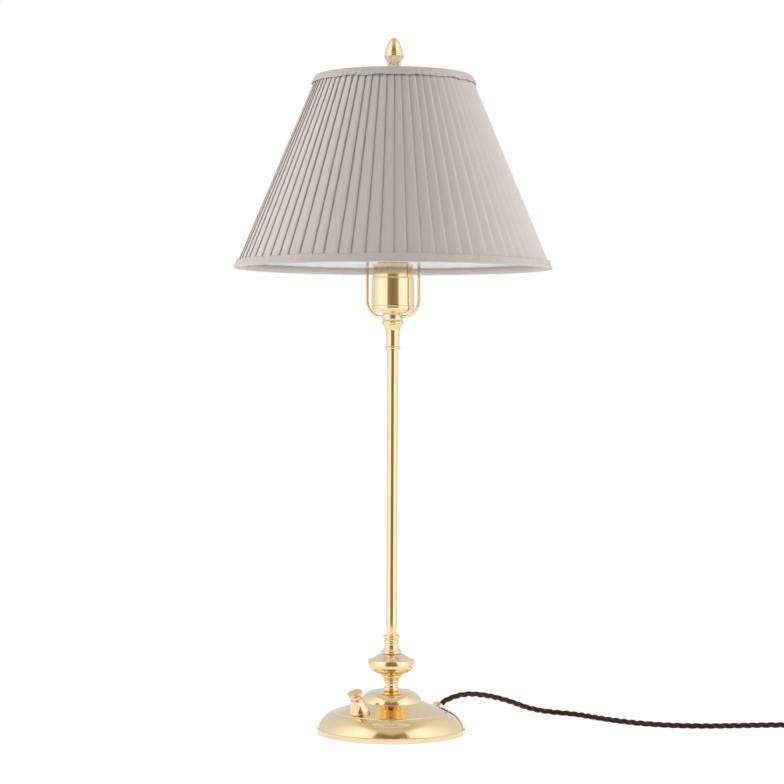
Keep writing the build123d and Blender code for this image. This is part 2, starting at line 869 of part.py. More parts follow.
def make_cord():
    first = exit_point + exit_way * exit_run
    run_in = (coil_start[0] - 2 * cord_radius, coil_start[1], cord_radius)
    points = [tuple(exit_point), tuple(first)] + cord_route + [run_in]
    path, radii = softened(points)
    cord = round_tube(path, cord_radius)
    section = pi * cord_radius**2
    print("cord radii", [round(radius, 1) for radius in radii])
    print("cord length", round(path.length, 1), "ratio", round(cord.volume / (section * path.length), 4))

    edges, coil_end = coil_path()
    coil_wire = Wire(edges)
    coil = round_tube(coil_wire, cord_radius)
    filled = coil.volume / (section * coil_wire.length)
    print("coil length", round(coil_wire.length, 1), "ratio", round(filled, 4))
    print("coil least gap", round(least_gap(edges, cord_radius), 2))
    print("cord in all", round(path.length + coil_wire.length, 1))

    ferrule = along(exit_place, ferrule_radius, ferrule_show - ferrule_length, ferrule_show)
    flange = along(exit_place, ferrule_flange_radius, -ferrule_flange_radius, ferrule_flange)
    ferrule += flange - foot_form(-slide_fit, 0.0)
    ferrule -= along(exit_place, cord_radius + ferrule_fit, -ferrule_length, 2 * ferrule_show)
    return {"cord_ferrule": ferrule, "cord": cord, "cord_coil": coil}, coil_end


def make_plug(cord_end):
    """An earthed plug on its back: the cord enters its side, and its pins point up."""
    centre_y = cord_end.Y + boot_length + sqrt(plug_radius**2 - boot_root_radius**2)
    body = turned(
        (0.0, 0.0),
        [
            (plug_radius - plug_edge, 0.0, 0.0),
            (plug_radius, plug_edge, plug_edge * (1 - sqrt(0.5))),
            (plug_radius, plug_height, 0.0),
            (0.0, plug_height, 0.0),
        ],
    )
    body = Pos(cord_end.X, centre_y, 0) * body
    reach = centre_y - cord_end.Y
    boot_end_radius = boot_tip_radius + (boot_root_radius - boot_tip_radius) * reach / boot_length
    boot = Pos(0, 0, reach / 2) * Cone(boot_tip_radius, boot_end_radius, reach)
    body += Plane(cord_end, z_dir=(0, 1, 0)).location * boot
    straight = Cylinder(pin_radius, pin_length)
    pin = fillet(straight.edges().sort_by(Axis.Z)[-1], pin_tip_round)
    pins = []
    clips = []
    for side in (1, -1):
        pin_x = cord_end.X + side * pin_spread / 2
        pins.append(Pos(pin_x, centre_y, plug_height + pin_length / 2) * pin)
        clip_z = plug_height - clip_height / 2 + clip_thickness
        notch_y = centre_y + side * (plug_radius - clip_sink / 2)
        notch = Box(clip_width + 2 * clip_fit, 2 * clip_sink, clip_height + 2 * clip_fit)
        body -= Pos(cord_end.X, notch_y, clip_z) * notch
        clip_y = notch_y - side * (clip_sink - clip_thickness / 2)
        clips.append(Pos(cord_end.X, clip_y, clip_z) * Box(clip_width, clip_thickness, clip_height))
    return {"plug_body": body, "plug_pins": Compound(pins), "plug_earth_clips": Compound(clips)}


def make_leads():
    """What carries the current inside: from the ferrule and the switch to a block, and up the tube."""
    level = felt_thickness + block_lift + block_size[2] / 2
    x, y = block_centre
    block = Pos(x, y, level) * Box(*block_size)
    drop = exit_point - exit_way * ((exit_point.Z - level) / exit_way.Z)
    end = (x + block_size[0] / 2, y, level)
    before_end = (end[0] + tail_bend, y, level)
    tail_path = FilletPolyline(tuple(exit_point), tuple(drop), before_end, end, radius=tail_bend)
    tail = round_tube(tail_path, cord_radius)

    switch_low = switch_point - switch_way * (switch_body_top + switch_body_length)
    near_block = (x - block_size[0] / 2, y, level)
    way_in = switch_point * ((weight_chamber_radius - 2 * lead_bend) / switch_reach)
    switch_path = FilletPolyline(
        tuple(switch_low),
        tuple(switch_low - switch_way * lead_bend),
        (way_in.X, way_in.Y, level),
        (near_block[0] - 2 * lead_bend, y, level),
        near_block,
        radius=[lead_bend / 2, lead_bend, lead_bend],
    )
    switch_lead = round_tube(switch_path, lead_radius)
    up_path = FilletPolyline(
        (0, y - block_size[1] / 2, level), (0, 0, level), (0, 0, core_foot), radius=lead_bend
    )
    tube_lead = round_tube(up_path, lead_radius)
    return {
        "terminal_block": block,
        "supply_tail": tail,
        "switch_lead": switch_lead,
        "tube_lead": tube_lead,
    }


# ---- writing -----------------------------------------------------------------------------------


def make_lamp():
    pieces = {}
    pieces.update(make_foot())
    pieces.update(make_column())
    pieces.update(make_harp())
    pieces.update(make_lampholder())
    pieces.update(make_bulb())
    pieces.update(make_shade())
    pieces.update(make_finial())
    pieces.update(make_switch())
    cord_pieces, cord_end = make_cord()
    pieces.update(cord_pieces)
    pieces.update(make_plug(cord_end))
    pieces.update(make_leads())
    return pieces


os.makedirs("parts", exist_ok=True)
for name, solid in make_lamp().items():
    export_step(solid, f"parts/{name}.step")
print("overall height", round(finial_foot + rise_of(finial_steps) + finial_crown, 2))
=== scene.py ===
from math import cos, hypot, pi, radians, sin, sqrt, tau

import bmesh
import bpy
from mathutils import Matrix, Vector, noise


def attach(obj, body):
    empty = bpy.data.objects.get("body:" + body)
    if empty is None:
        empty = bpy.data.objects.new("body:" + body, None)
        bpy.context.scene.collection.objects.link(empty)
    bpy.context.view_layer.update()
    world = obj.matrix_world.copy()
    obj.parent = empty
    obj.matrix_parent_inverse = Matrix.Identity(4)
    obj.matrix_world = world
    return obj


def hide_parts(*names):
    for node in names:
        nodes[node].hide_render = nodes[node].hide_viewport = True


# A candlestick table lamp: turned brass on a weighted foot, a harp that carries a knife-pleated
# shade, an acorn finial, a push switch and a twisted cord. Metres, +Z up, first seen from -Y.

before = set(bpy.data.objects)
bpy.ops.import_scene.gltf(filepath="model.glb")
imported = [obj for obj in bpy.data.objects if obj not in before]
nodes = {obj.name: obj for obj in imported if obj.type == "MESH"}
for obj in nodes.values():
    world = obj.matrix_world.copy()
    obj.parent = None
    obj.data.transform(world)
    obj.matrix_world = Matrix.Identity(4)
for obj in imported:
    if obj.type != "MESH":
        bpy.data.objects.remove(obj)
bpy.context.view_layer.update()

# ---- camera -------------------------------------------------------------------------------------
# It stands 2.1 m away, a little over half way up the lamp, looks very slightly down, and is held
# a quarter of a degree off level, so that the lamp leans to the right as it goes up.

picture_width_in_pixels = 784
focal_length_in_pixels = 2236
camera_place = (-0.0006, -2.093, 0.343)
tilt_down, off_level = 0.657, 0.24  # degrees
camera_data = bpy.data.cameras.new("camera")
camera_data.sensor_width = 36.0
camera_data.lens = camera_data.sensor_width * focal_length_in_pixels / picture_width_in_pixels
camera = bpy.data.objects.new("camera", camera_data)
camera.location = camera_place
camera.rotation_euler = (radians(90.0 - tilt_down), radians(-off_level), 0.0)
bpy.context.scene.collection.objects.link(camera)
bpy.context.scene.camera = camera

# ---- cord ---------------------------------------------------------------------------------------
# Three rubber-covered cores, each in its own braided cotton sleeve, laid into one cord with a
# right-hand twist. It leaves the foot at the back right, lies down in a loose curve, and is put away
# in a coil.


def linear(colour):
    """The linear colour of an sRGB hex value."""
    parts = [int(colour[i : i + 2], 16) / 255 for i in (1, 3, 5)]
    return [p / 12.92 if p <= 0.04045 else ((p + 0.055) / 1.055) ** 2.4 for p in parts] + [1.0]


def add(tree, kind, inputs=(), **settings):
    """Adds a node with its settings. An input is a value, a socket, or a node whose first output is meant."""
    node = tree.nodes.new(kind)
    for name, value in settings.items():
        setattr(node, name, value)
    for name, value in dict(inputs).items():
        if isinstance(value, bpy.types.Node):
            value = next(s for s in value.outputs if not s.is_unavailable)
        if isinstance(value, bpy.types.NodeSocket):
            tree.links.new(value, node.inputs[name])
        else:
            node.inputs[name].default_value = value
    return node


def new_material(name, **surface):
    """A material, its node tree and its shader, with the shader's plain values set."""
    material = bpy.data.materials.new(name)
    material.use_nodes = True
    tree = material.node_tree
    shader = tree.nodes["Principled BSDF"]
    for socket, value in surface.items():
        shader.inputs[socket.replace("_", " ")].default_value = value
    return material, tree, shader


def new_piece(name, vertices, faces, material, smooth=True):
    """A mesh piece at the origin, with its place in its vertices."""
    mesh = bpy.data.meshes.new(name)
    mesh.from_pydata(vertices, [], faces)
    if smooth:
        mesh.shade_smooth()
    else:
        mesh.shade_flat()
    mesh.materials.append(material)
    piece = bpy.data.objects.new(name, mesh)
    bpy.context.scene.collection.objects.link(piece)
    return piece


cord_diameter = 0.0054
cord_exit = Vector((0.046637, 0.034483, 0.020643))
exit_turn, exit_rise, exit_run = radians(36.0), radians(40.0), 0.006
exit_way = Vector((cos(exit_rise) * cos(exit_turn), cos(exit_rise) * sin(exit_turn), sin(exit_rise)))
cord_route = [
    (0.0700, 0.0513, 0.0292),
    (0.0925, 0.0665, 0.0254),
    (0.1150, 0.0815, 0.0176),
    (0.1375, 0.0970, 0.0072),
    (0.1585, 0.1085, 0.0027),
    (0.1810, 0.0975, 0.0027),
    (0.2045, 0.0695, 0.0027),
    (0.2280, 0.0475, 0.0027),
    (0.2565, 0.0320, 0.0027),
    (0.2920, 0.0255, 0.0027),
    (0.3300, 0.0295, 0.0027),
    (0.3660, 0.0355, 0.0027),
    (0.3970, 0.0320, 0.0027),
    (0.4246, 0.0320, 0.0027),
]
coil_start = Vector((0.430, 0.032, cord_diameter / 2))
coil_radius = 0.0397
coil_gap = 0.0005  # between turns, and between the two layers
coil_pitch = cord_diameter + coil_gap
half_turns = 7
points_per_half_turn = 8
boot_stretch = 0.0015  # the last of the cord, held in the plug's boot
corner_cut = 0.981  # a quadratic spline runs this far out from the middle of its points' circle

cord_points = [cord_exit, cord_exit + exit_way * exit_run] + [Vector(p) for p in cord_route]
middle_y = coil_start.y + coil_radius
radius = coil_radius
# Seven half-turns run inwards on the table, the eighth climbs, and six run outwards on top.
for half in range(2 * half_turns):
    for step in range(points_per_half_turn):
        share = (step + 0.5) / points_per_half_turn
        turn = pi * (half + share) - pi / 2
        climb = (1 - cos(pi * share)) / 2 if half == half_turns else float(half > half_turns)
        reach = radius / corner_cut
        height = coil_start.z + climb * coil_pitch
        place = (coil_start.x + reach * cos(turn), middle_y + reach * sin(turn), height)
        cord_points.append(Vector(place))
    top_y = middle_y + radius * (1 if half % 2 == 0 else -1)
    radius += -coil_pitch / 2 if half < half_turns else coil_pitch / 2
    middle_y = top_y + radius * (-1 if half % 2 == 0 else 1)
# A last quarter turn leads to the boot.
upper_layer = coil_start.z + coil_pitch
for step in range(points_per_half_turn // 2):
    turn = pi * (step + 0.5) / points_per_half_turn - pi / 2
    reach = radius / corner_cut
    place = (coil_start.x + reach * cos(turn), middle_y + reach * sin(turn), upper_layer)
    cord_points.append(Vector(place))
boot_tip = Vector((coil_start.x + coil_radius, middle_y + cord_diameter, upper_layer))
cord_points += [boot_tip, boot_tip + Vector((0, boot_stretch, 0))]

cord_curve = bpy.data.curves.new("cord_line", "CURVE")
cord_curve.dimensions = "3D"
spline = cord_curve.splines.new("NURBS")
spline.points.add(len(cord_points) - 1)
for point, place in zip(spline.points, cord_points):
    point.co = (*place, 1.0)
spline.order_u = 3
spline.use_endpoint_u = True
spline.resolution_u = 12
cord_line = bpy.data.objects.new("cord_line", cord_curve)
centre_mesh = bpy.data.meshes.new_from_object(cord_line)
centre_line = [v.co.copy() for v in centre_mesh.vertices]
bpy.data.meshes.remove(centre_mesh)
bpy.data.objects.remove(cord_line)
bpy.data.curves.remove(cord_curve)


def evenly_along(line, step):
    """The line again, with points about a step apart, and how far along each one is."""
    travelled = [0.0]
    for here, there in zip(line, line[1:]):
        travelled.append(travelled[-1] + (there - here).length)
    count = int(travelled[-1] / step)
    points, lengths, segment = [], [], 0
    for i in range(count + 1):
        want = travelled[-1] * i / count
        while segment < len(line) - 2 and travelled[segment + 1] < want:
            segment += 1
        share = (want - travelled[segment]) / max(travelled[segment + 1] - travelled[segment], 1e-9)
        points.append(line[segment].lerp(line[segment + 1], share))
        lengths.append(want)
    return points, lengths


def carried_frames(points):
    """The direction at each point of a line, and a side direction carried along without twist."""
    ways, sides = [], []
    side = Vector((0, 0, 1))
    for i, point in enumerate(points):
        way = (points[min(i + 1, len(points) - 1)] - points[max(i - 1, 0)]).normalized()
        side = (side - way * side.dot(way)).normalized()
        ways.append(way)
        sides.append(side)
    return ways, sides


def tube_mesh(line, lengths, radius, sides_round, vertices, faces, coordinates):
    """Adds one round strand along a line, closed at both ends, with its length and turn as UV."""
    ways, sides = carried_frames(line)
    first = len(vertices)
    for place, way, side in zip(line, ways, sides):
        across = way.cross(side)
        for k in range(sides_round):
            turn = tau * k / sides_round
            vertices.append(place + (side * cos(turn) + across * sin(turn)) * radius)
    for i in range(len(line) - 1):
        for k in range(sides_round):
            a, b = first + i * sides_round + k, first + i * sides_round + (k + 1) % sides_round
            faces.append((a, b, b + sides_round, a + sides_round))
            round_share = (k / sides_round, (k + 1) / sides_round)
            coordinates += [
                (lengths[i], round_share[0]),
                (lengths[i], round_share[1]),
                (lengths[i + 1], round_share[1]),
                (lengths[i + 1], round_share[0]),
            ]
    last = first + (len(line) - 1) * sides_round
    faces.append(tuple(range(first + sides_round - 1, first - 1, -1)))
    faces.append(tuple(range(last, last + sides_round)))
    coordinates += [(0.0, 0.0)] * (2 * sides_round)


strand_count, strand_sides = 3, 12
strand_radius = cord_diameter / 2 / (1 + 2 / sqrt(3))  # three that touch, inside the cord's circle
strand_orbit = cord_diameter / 2 - strand_radius
cord_lay = 0.027  # one full turn of the twist
line_step = 0.0015
cord_points_even, cord_lengths = evenly_along(centre_line, line_step)
cord_ways, cord_sides = carried_frames(cord_points_even)
cord_vertices, cord_faces, cord_uvs = [], [], []
for strand in range(strand_count):
    strand_line = []
    for place, way, side, length in zip(cord_points_even, cord_ways, cord_sides, cord_lengths):
        turn = tau * (length / cord_lay + strand / strand_count)
        strand_line.append(place + (side * cos(turn) + way.cross(side) * sin(turn)) * strand_orbit)
    tube_mesh(
        strand_line, cord_lengths, strand_radius, strand_sides, cord_vertices, cord_faces, cord_uvs
    )

# Braided cotton, dyed dark brown: matt, with a soft pile that lightens the edges. The braid's
# thread spacing is 0.35 mm, drawn as 0.8 mm so that it shows.
cord_cloth, tree, shader = new_material(
    "braided_cotton_brown",
    Roughness=0.85,
    Sheen_Weight=0.35,
    Sheen_Roughness=0.5,
    Sheen_Tint=linear("#8A5A4C"),
)
braid_uv = add(tree, "ShaderNodeUVMap", uv_map="braid")
braid_axes = add(tree, "ShaderNodeSeparateXYZ", {0: braid_uv.outputs["UV"]})
thread_spacing, thread_relief = 0.0008, 0.0002
threads_round = 10
crossings = []
for lean in (1, -1):
    along = add(
        tree, "ShaderNodeMath", {0: braid_axes.outputs["X"], 1: 1 / thread_spacing}, operation="MULTIPLY"
    )
    round_it = add(
        tree, "ShaderNodeMath", {0: braid_axes.outputs["Y"], 1: lean * threads_round}, operation="MULTIPLY"
    )
    both = add(tree, "ShaderNodeMath", {0: along.outputs[0], 1: round_it.outputs[0]}, operation="ADD")
    wave = add(tree, "ShaderNodeMath", {0: both.outputs[0], 1: 1.0}, operation="PINGPONG")
    crossings.append(wave.outputs[0])
braid = add(tree, "ShaderNodeMath", {0: crossings[0], 1: crossings[1]}, operation="MAXIMUM")
# Painted shade and painted highlight: near black in the braid's grooves, a lighter brown on its crowns,
# following the braid's height.
braid_shade_and_highlight = add(
    tree,
    "ShaderNodeMix",
    {"Factor": braid.outputs[0], "A": linear("#120807"), "B": linear("#3B201B")},
    data_type="RGBA",
)
tree.links.new(braid_shade_and_highlight.outputs["Result"], shader.inputs["Base Color"])
braid_bump = add(
    tree, "ShaderNodeBump", {"Height": braid.outputs[0], "Distance": thread_relief, "Strength": 0.8}
)
tree.links.new(braid_bump.outputs["Normal"], shader.inputs["Normal"])

cord = new_piece("cord_strands", cord_vertices, cord_faces, cord_cloth)
braid_layer = cord.data.uv_layers.new(name="braid")
for corner, place in zip(braid_layer.data, cord_uvs):
    corner.uv = place
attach(cord, "lamp")
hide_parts("cord", "cord_coil")

# ---- plug ---------------------------------------------------------------------------------------
# An earthed mains plug, moulded in one piece on the cord: a round body with grip ribs, a ridged
# boot that keeps the cord from kinking, two nickel-plated pins and sprung earth clips. It lies on
# its back, with the pins up.


def lathed(name, outline, material, place=Matrix(), sides=96, sharp=40.0):
    """A solid turned about Z from (radius, height) points, first and last on the axis."""
    vertices = [(0.0, 0.0, outline[0][1]), (0.0, 0.0, outline[-1][1])]
    ring_points = outline[1:-1]
    turns = [tau * k / sides for k in range(sides)]
    for reach, height in ring_points:
        vertices += [(reach * cos(turn), reach * sin(turn), height) for turn in turns]
    faces = []
    last = 2 + (len(ring_points) - 1) * sides
    for k in range(sides):
        after = (k + 1) % sides
        faces.append((0, 2 + after, 2 + k))
        faces.append((1, last + k, last + after))
        for row in range(len(ring_points) - 1):
            low, high = 2 + row * sides, 2 + (row + 1) * sides
            faces.append((low + k, low + after, high + after, high + k))
    piece = new_piece(name, [place @ Vector(v) for v in vertices], faces, material)
    piece.data.set_sharp_from_angle(angle=radians(sharp))
    return piece


def merged(name, *pieces):
    """Joins mesh pieces into the first one."""
    work = bmesh.new()
    for piece in pieces:
        work.from_mesh(piece.data)
    work.to_mesh(pieces[0].data)
    work.free()
    pieces[0].name = pieces[0].data.name = name
    for piece in pieces[1:]:
        old = piece.data
        bpy.data.objects.remove(piece)
        bpy.data.meshes.remove(old)
    return pieces[0]


def settled(piece):
    """The piece as a plain mesh, with its modifiers worked out and taken off."""
    graph = bpy.context.evaluated_depsgraph_get()
    mesh = bpy.data.meshes.new_from_object(piece.evaluated_get(graph), depsgraph=graph)
    old = piece.data
    piece.modifiers.clear()
    piece.data = mesh
    bpy.data.meshes.remove(old)
    mesh.name = piece.name
    return piece


def grained(name, dark, light, grain, bump, **surface):
    """A material whose colour and height vary with a fine grain of this size, in metres."""
    material, tree, shader = new_material(name, **surface)
    place = add(tree, "ShaderNodeTexCoord")
    speckle = add(
        tree,
        "ShaderNodeTexNoise",
        {"Vector": place.outputs["Object"], "Scale": 1 / grain, "Detail": 4.0, "Roughness": 0.6},
    )
    colour = add(
        tree,
        "ShaderNodeMix",
        {"Factor": speckle.outputs["Fac"], "A": linear(dark), "B": linear(light)},
        data_type="RGBA",
    )
    tree.links.new(colour.outputs["Result"], shader.inputs["Base Color"])
    relief = add(tree, "ShaderNodeBump", {"Height": speckle.outputs["Fac"], "Distance": bump})
    tree.links.new(relief.outputs["Normal"], shader.inputs["Normal"])
    return material


def dress(material, *names):
    """Gives CAD nodes a material."""
    for name in names:
        slots = nodes[name].data.materials
        slots.clear()
        slots.append(material)


# Soft PVC, moulded in a spark-eroded tool: dark brown with a fine matt grain, 0.5 mm.
moulded_pvc = grained("moulded_pvc_brown", "#2A1C16", "#33231C", 0.0005, 0.00004, Roughness=0.5)
plug_middle = Vector((0.4697, 0.12503, 0.0))
plug_radius, plug_height = 0.019, 0.024
plug_place = Matrix.Translation(plug_middle)
plug_outline = [
    (0.0, 0.0),
    (0.0145, 0.0),
    (0.0166, 0.0007),
    (0.0174, 0.0026),
    (0.0172, 0.0080),
    (0.0172, 0.0165),
    (0.0178, 0.0186),
    (0.0188, 0.0194),
    (plug_radius, 0.0202),
    (plug_radius, 0.0232),
    (0.0184, plug_height),
    (0.0, plug_height),
]
plug_housing = lathed("plug_moulding", plug_outline, moulded_pvc, plug_place)

boot_axis_height, boot_length, boot_sunk = 0.0086, 0.024, 0.00197
boot_tip_radius, boot_flare = 0.0031, 0.0029
ridge_count, first_ridge, ridge_pitch = 6, 0.0008, 0.0036
boot_outline = [(0.0, 0.0), (0.0030, 0.0)]
for ridge in range(ridge_count):
    start = first_ridge + ridge * ridge_pitch
    reach = boot_tip_radius + boot_flare * start / boot_length
    boot_outline += [(reach, start), (reach + 0.0002, start + 0.0006)]
    boot_outline += [(reach + 0.0004, start + 0.0022), (reach - 0.0003, start + 0.0026)]
boot_outline += [(0.0060, 0.0230), (0.0060, 0.0300), (0.0, 0.0300)]
boot_start = plug_middle.y - plug_radius - boot_length + boot_sunk
boot_place = Matrix.Translation((plug_middle.x, boot_start, boot_axis_height))
boot_place = boot_place @ Matrix.Rotation(radians(-90), 4, "X")
plug_boot = lathed("plug_boot", boot_outline, moulded_pvc, boot_place, sides=48, sharp=60.0)

rib_tree = bpy.data.node_groups.new("grip_ribs", "GeometryNodeTree")
for name, kind in (
    ("Ribs", "NodeSocketInt"),
    ("Reach", "NodeSocketFloat"),
    ("Low", "NodeSocketFloat"),
    ("Length", "NodeSocketFloat"),
    ("Thickness", "NodeSocketFloat"),
    ("Material", "NodeSocketMaterial"),
):
    rib_tree.interface.new_socket(name, in_out="INPUT", socket_type=kind)
rib_tree.interface.new_socket("Geometry", in_out="OUTPUT", socket_type="NodeSocketGeometry")
rib_sizes = add(rib_tree, "NodeGroupInput").outputs
rib_circle = add(
    rib_tree, "GeometryNodeMeshCircle", {"Vertices": rib_sizes["Ribs"], "Radius": rib_sizes["Reach"]}
)
rib_middle = add(
    rib_tree,
    "ShaderNodeMath",
    {0: rib_sizes["Length"], 1: 0.5, 2: rib_sizes["Low"]},
    operation="MULTIPLY_ADD",
)
rib_lift = add(rib_tree, "ShaderNodeCombineXYZ", {"Z": rib_middle})
rib_feet = add(rib_tree, "GeometryNodeSetPosition", {"Geometry": rib_circle, "Offset": rib_lift})
rib_bar = add(
    rib_tree,
    "GeometryNodeMeshCylinder",
    {"Vertices": 8, "Radius": rib_sizes["Thickness"], "Depth": rib_sizes["Length"]},
)
rib_bars = add(
    rib_tree, "GeometryNodeInstanceOnPoints", {"Points": rib_feet, "Instance": rib_bar.outputs["Mesh"]}
)
rib_real = add(rib_tree, "GeometryNodeRealizeInstances", {"Geometry": rib_bars})
rib_done = add(
    rib_tree, "GeometryNodeSetMaterial", {"Geometry": rib_real, "Material": rib_sizes["Material"]}
)
add(rib_tree, "NodeGroupOutput", {"Geometry": rib_done})


def node_piece(name, tree, **values):
    """A plain mesh made by a Geometry Nodes tree from named inputs."""
    piece = bpy.data.objects.new(name, bpy.data.meshes.new(name))
    bpy.context.scene.collection.objects.link(piece)
    modifier = piece.modifiers.new(tree.name, "NODES")
    modifier.node_group = tree
    for socket in tree.interface.items_tree:
        key = socket.name.replace(" ", "_")
        if key in values:
            modifier[socket.identifier] = values[key]
    return settled(piece)


ribs = node_piece(
    "plug_ribs",
    rib_tree,
    Ribs=36,
    Reach=0.0172,
    Low=0.0042,
    Length=0.0118,
    Thickness=0.0006,
    Material=moulded_pvc,
)
ribs.data.transform(plug_place)

# Each earth clip lies in a notch, cut through the rim and the ribs.
notch_half_width = 0.0031
notch_floor, notch_mouth = 0.0173, 0.0200  # out from the plug's axis
notch_low, notch_high = 0.0112, 0.0252
notch_corners = ((-1, notch_floor), (1, notch_floor), (1, notch_mouth), (-1, notch_mouth))
box_faces = ((0, 3, 2, 1), (4, 5, 6, 7), (0, 1, 5, 4), (1, 2, 6, 5), (2, 3, 7, 6), (3, 0, 4, 7))
notch_vertices, notch_faces = [], []
for side in (1, -1):
    first = len(notch_vertices)
    for height in (notch_low, notch_high):
        for across, out in notch_corners:
            notch_vertices.append(plug_place @ Vector((across * notch_half_width, side * out, height)))
    for face in box_faces:
        notch_faces.append([first + corner for corner in (face if side == 1 else face[::-1])])
notch_bar = new_piece("clip_notch_bar", notch_vertices, notch_faces, moulded_pvc, smooth=False)
for piece in (plug_housing, ribs):
    cut = piece.modifiers.new("clip_notches", "BOOLEAN")
    cut.object, cut.operation, cut.solver = notch_bar, "DIFFERENCE", "EXACT"
    settled(piece)
bpy.data.objects.remove(notch_bar)
plug_housing = merged("plug_moulding", plug_housing, plug_boot, ribs)
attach(plug_housing, "lamp")
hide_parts("plug_body")

# Brass pins with a nickel plate: a warm grey mirror, slightly clouded by use.
nickel_plate = grained(
    "nickel_plate", "#BDB8AE", "#D2CDC3", 0.0012, 0.00001, Metallic=1.0, Roughness=0.22
)
dress(nickel_plate, "plug_pins", "plug_earth_clips")

# ---- foot ---------------------------------------------------------------------------------------
# A dome of sheet brass, spun over a form, polished and lacquered. Inside it an iron casting gives
# the weight, clamped with the column by a washer and nut, and a felt disc covers the underside.


def brass(name, colour, roughness, lathe_marks=0.0, turned_line=0.0):
    """Polished brass under clear lacquer. lathe_marks is how strong the fine rings from turning are, and
    turned_line the radius of one raised line."""
    haze_size, ring_spacing, ring_depth = 1 / 60, 0.000625, 0.00002
    line_half_width, line_height = 0.0009, 0.0006
    material, tree, shader = new_material(
        name, Metallic=1.0, Base_Color=linear(colour), Coat_Weight=1.0, Coat_Roughness=0.03
    )
    place = add(tree, "ShaderNodeTexCoord")
    cloud = add(
        tree, "ShaderNodeTexNoise", {"Vector": place.outputs["Object"], "Scale": 1 / haze_size, "Detail": 4.0}
    )
    dull = add(
        tree,
        "ShaderNodeMapRange",
        {
            "Value": cloud.outputs["Fac"],
            "From Min": 0.35,
            "From Max": 0.7,
            "To Min": roughness,
            "To Max": 1.7 * roughness,
        },
    )
    tree.links.new(dull.outputs["Result"], shader.inputs["Roughness"])
    if not lathe_marks:
        return material
    axes = add(tree, "ShaderNodeSeparateXYZ", {0: place.outputs["Object"]})
    x_squared = add(
        tree, "ShaderNodeMath", {0: axes.outputs["X"], 1: axes.outputs["X"]}, operation="MULTIPLY"
    )
    reach_squared = add(
        tree,
        "ShaderNodeMath",
        {0: axes.outputs["Y"], 1: axes.outputs["Y"], 2: x_squared},
        operation="MULTIPLY_ADD",
    )
    reach = add(tree, "ShaderNodeMath", {0: reach_squared}, operation="SQRT")
    profile = add(tree, "ShaderNodeCombineXYZ", {"X": reach, "Z": axes.outputs["Z"]})
    rings = add(
        tree,
        "ShaderNodeTexNoise",
        {"Vector": profile, "Scale": 1 / ring_spacing, "Detail": 2.0, "Roughness": 0.7},
    )
    bump = add(
        tree,
        "ShaderNodeBump",
        {"Height": rings.outputs["Fac"], "Distance": ring_depth, "Strength": lathe_marks},
    )
    if turned_line:
        off_line = add(tree, "ShaderNodeMath", {0: reach, 1: turned_line}, operation="SUBTRACT")
        away = add(tree, "ShaderNodeMath", {0: off_line}, operation="ABSOLUTE")
        bead = add(
            tree,
            "ShaderNodeMapRange",
            {"Value": away, "From Min": 0.0, "From Max": line_half_width, "To Min": 1.0, "To Max": 0.0},
            interpolation_type="SMOOTHSTEP",
        )
        bump = add(tree, "ShaderNodeBump", {"Height": bead, "Distance": line_height, "Normal": bump})
    tree.links.new(bump.outputs["Normal"], shader.inputs["Normal"])
    return material


# Brass with about 30% zinc, buffed and lacquered: pale gold where it faces the light, deep gold
# where it mirrors itself, nearly white at its edges from the lacquer. One line is turned round it.
lacquered_brass = brass("lacquered_brass", "#F2D9AC", 0.035, lathe_marks=0.06, turned_line=0.0531)
dress(lacquered_brass, "foot_shell")

# Grey iron from a sand mould, unpainted: nearly black, with a 0.8 mm grain.
cast_iron = grained(
    "sand_cast_iron", "#232427", "#3B3B3D", 0.0008, 0.00025, Metallic=0.6, Roughness=0.72
)
dress(cast_iron, "foot_weight")

# Pressed wool felt, dyed green: matt, with a soft pile. Its fibres are drawn 0.4 mm thick, so that
# they show.
green_felt = grained(
    "wool_felt_green",
    "#12211A",
    "#2C4436",
    0.0004,
    0.0003,
    Roughness=0.95,
    Sheen_Weight=0.5,
    Sheen_Roughness=0.6,
)
dress(green_felt, "felt_pad")

# Mild steel with a bright zinc plate: a cool grey, slightly mottled by the crystals.
zinc_plate = grained(
    "zinc_plated_steel", "#8E9296", "#B4B7BA", 0.0015, 0.00003, Metallic=1.0, Roughness=0.36
)
dress(zinc_plate, "foot_washer", "foot_nut")

# ---- column -------------------------------------------------------------------------------------
# Turned brass rings, a knop and a plain tube, threaded on one another and held by the nut below.
# All are polished on the lathe.

# The same brass, turned from bar: the gold of the foot, with faint rings round the axis.
turned_brass = brass("turned_brass", "#F2D9AC", 0.035, lathe_marks=0.08)
dress(turned_brass, "lower_spindle", "knop", "upper_spindle", "stem_tube", "top_bushing")

# ---- harp ---------------------------------------------------------------------------------------
# A brass collar under the lampholder, a bow of drawn brass wire that goes round the bulb, and the
# threaded stud that the shade sits on.

# Drawn brass, polished by hand: a slightly softer mirror, without rings.
drawn_brass = brass("drawn_brass_wire", "#F4D6A8", 0.06)
dress(drawn_brass, "harp_bow", "harp_stud")
dress(turned_brass, "harp_saddle")

# ---- lampholder ---------------------------------------------------------------------------------
# A brass cap and shell, drawn from sheet and polished, with a porcelain core that carries the
# threaded sleeve and the centre contact.

# Sheet brass, drawn and then polished on the lathe: paler, with stronger rings than turned parts.
sheet_brass = brass("drawn_sheet_brass", "#EFDBB0", 0.05, lathe_marks=0.12)
dress(sheet_brass, "lampholder_cap", "lampholder_shell", "lampholder_sleeve", "lampholder_contact")

# Glazed porcelain: white with a warm cast, glossy, its glaze slightly uneven over 3 mm.
porcelain = grained("glazed_porcelain", "#E9E6DE", "#F2F0EA", 0.003, 0.00005, Roughness=0.12)
dress(porcelain, "lampholder_core")

# ---- bulb ---------------------------------------------------------------------------------------
# A bulb with a milky globe on a white plastic housing, whose rolled metal cap screws into the
# lampholder. It shows from below and through the shade's open top.

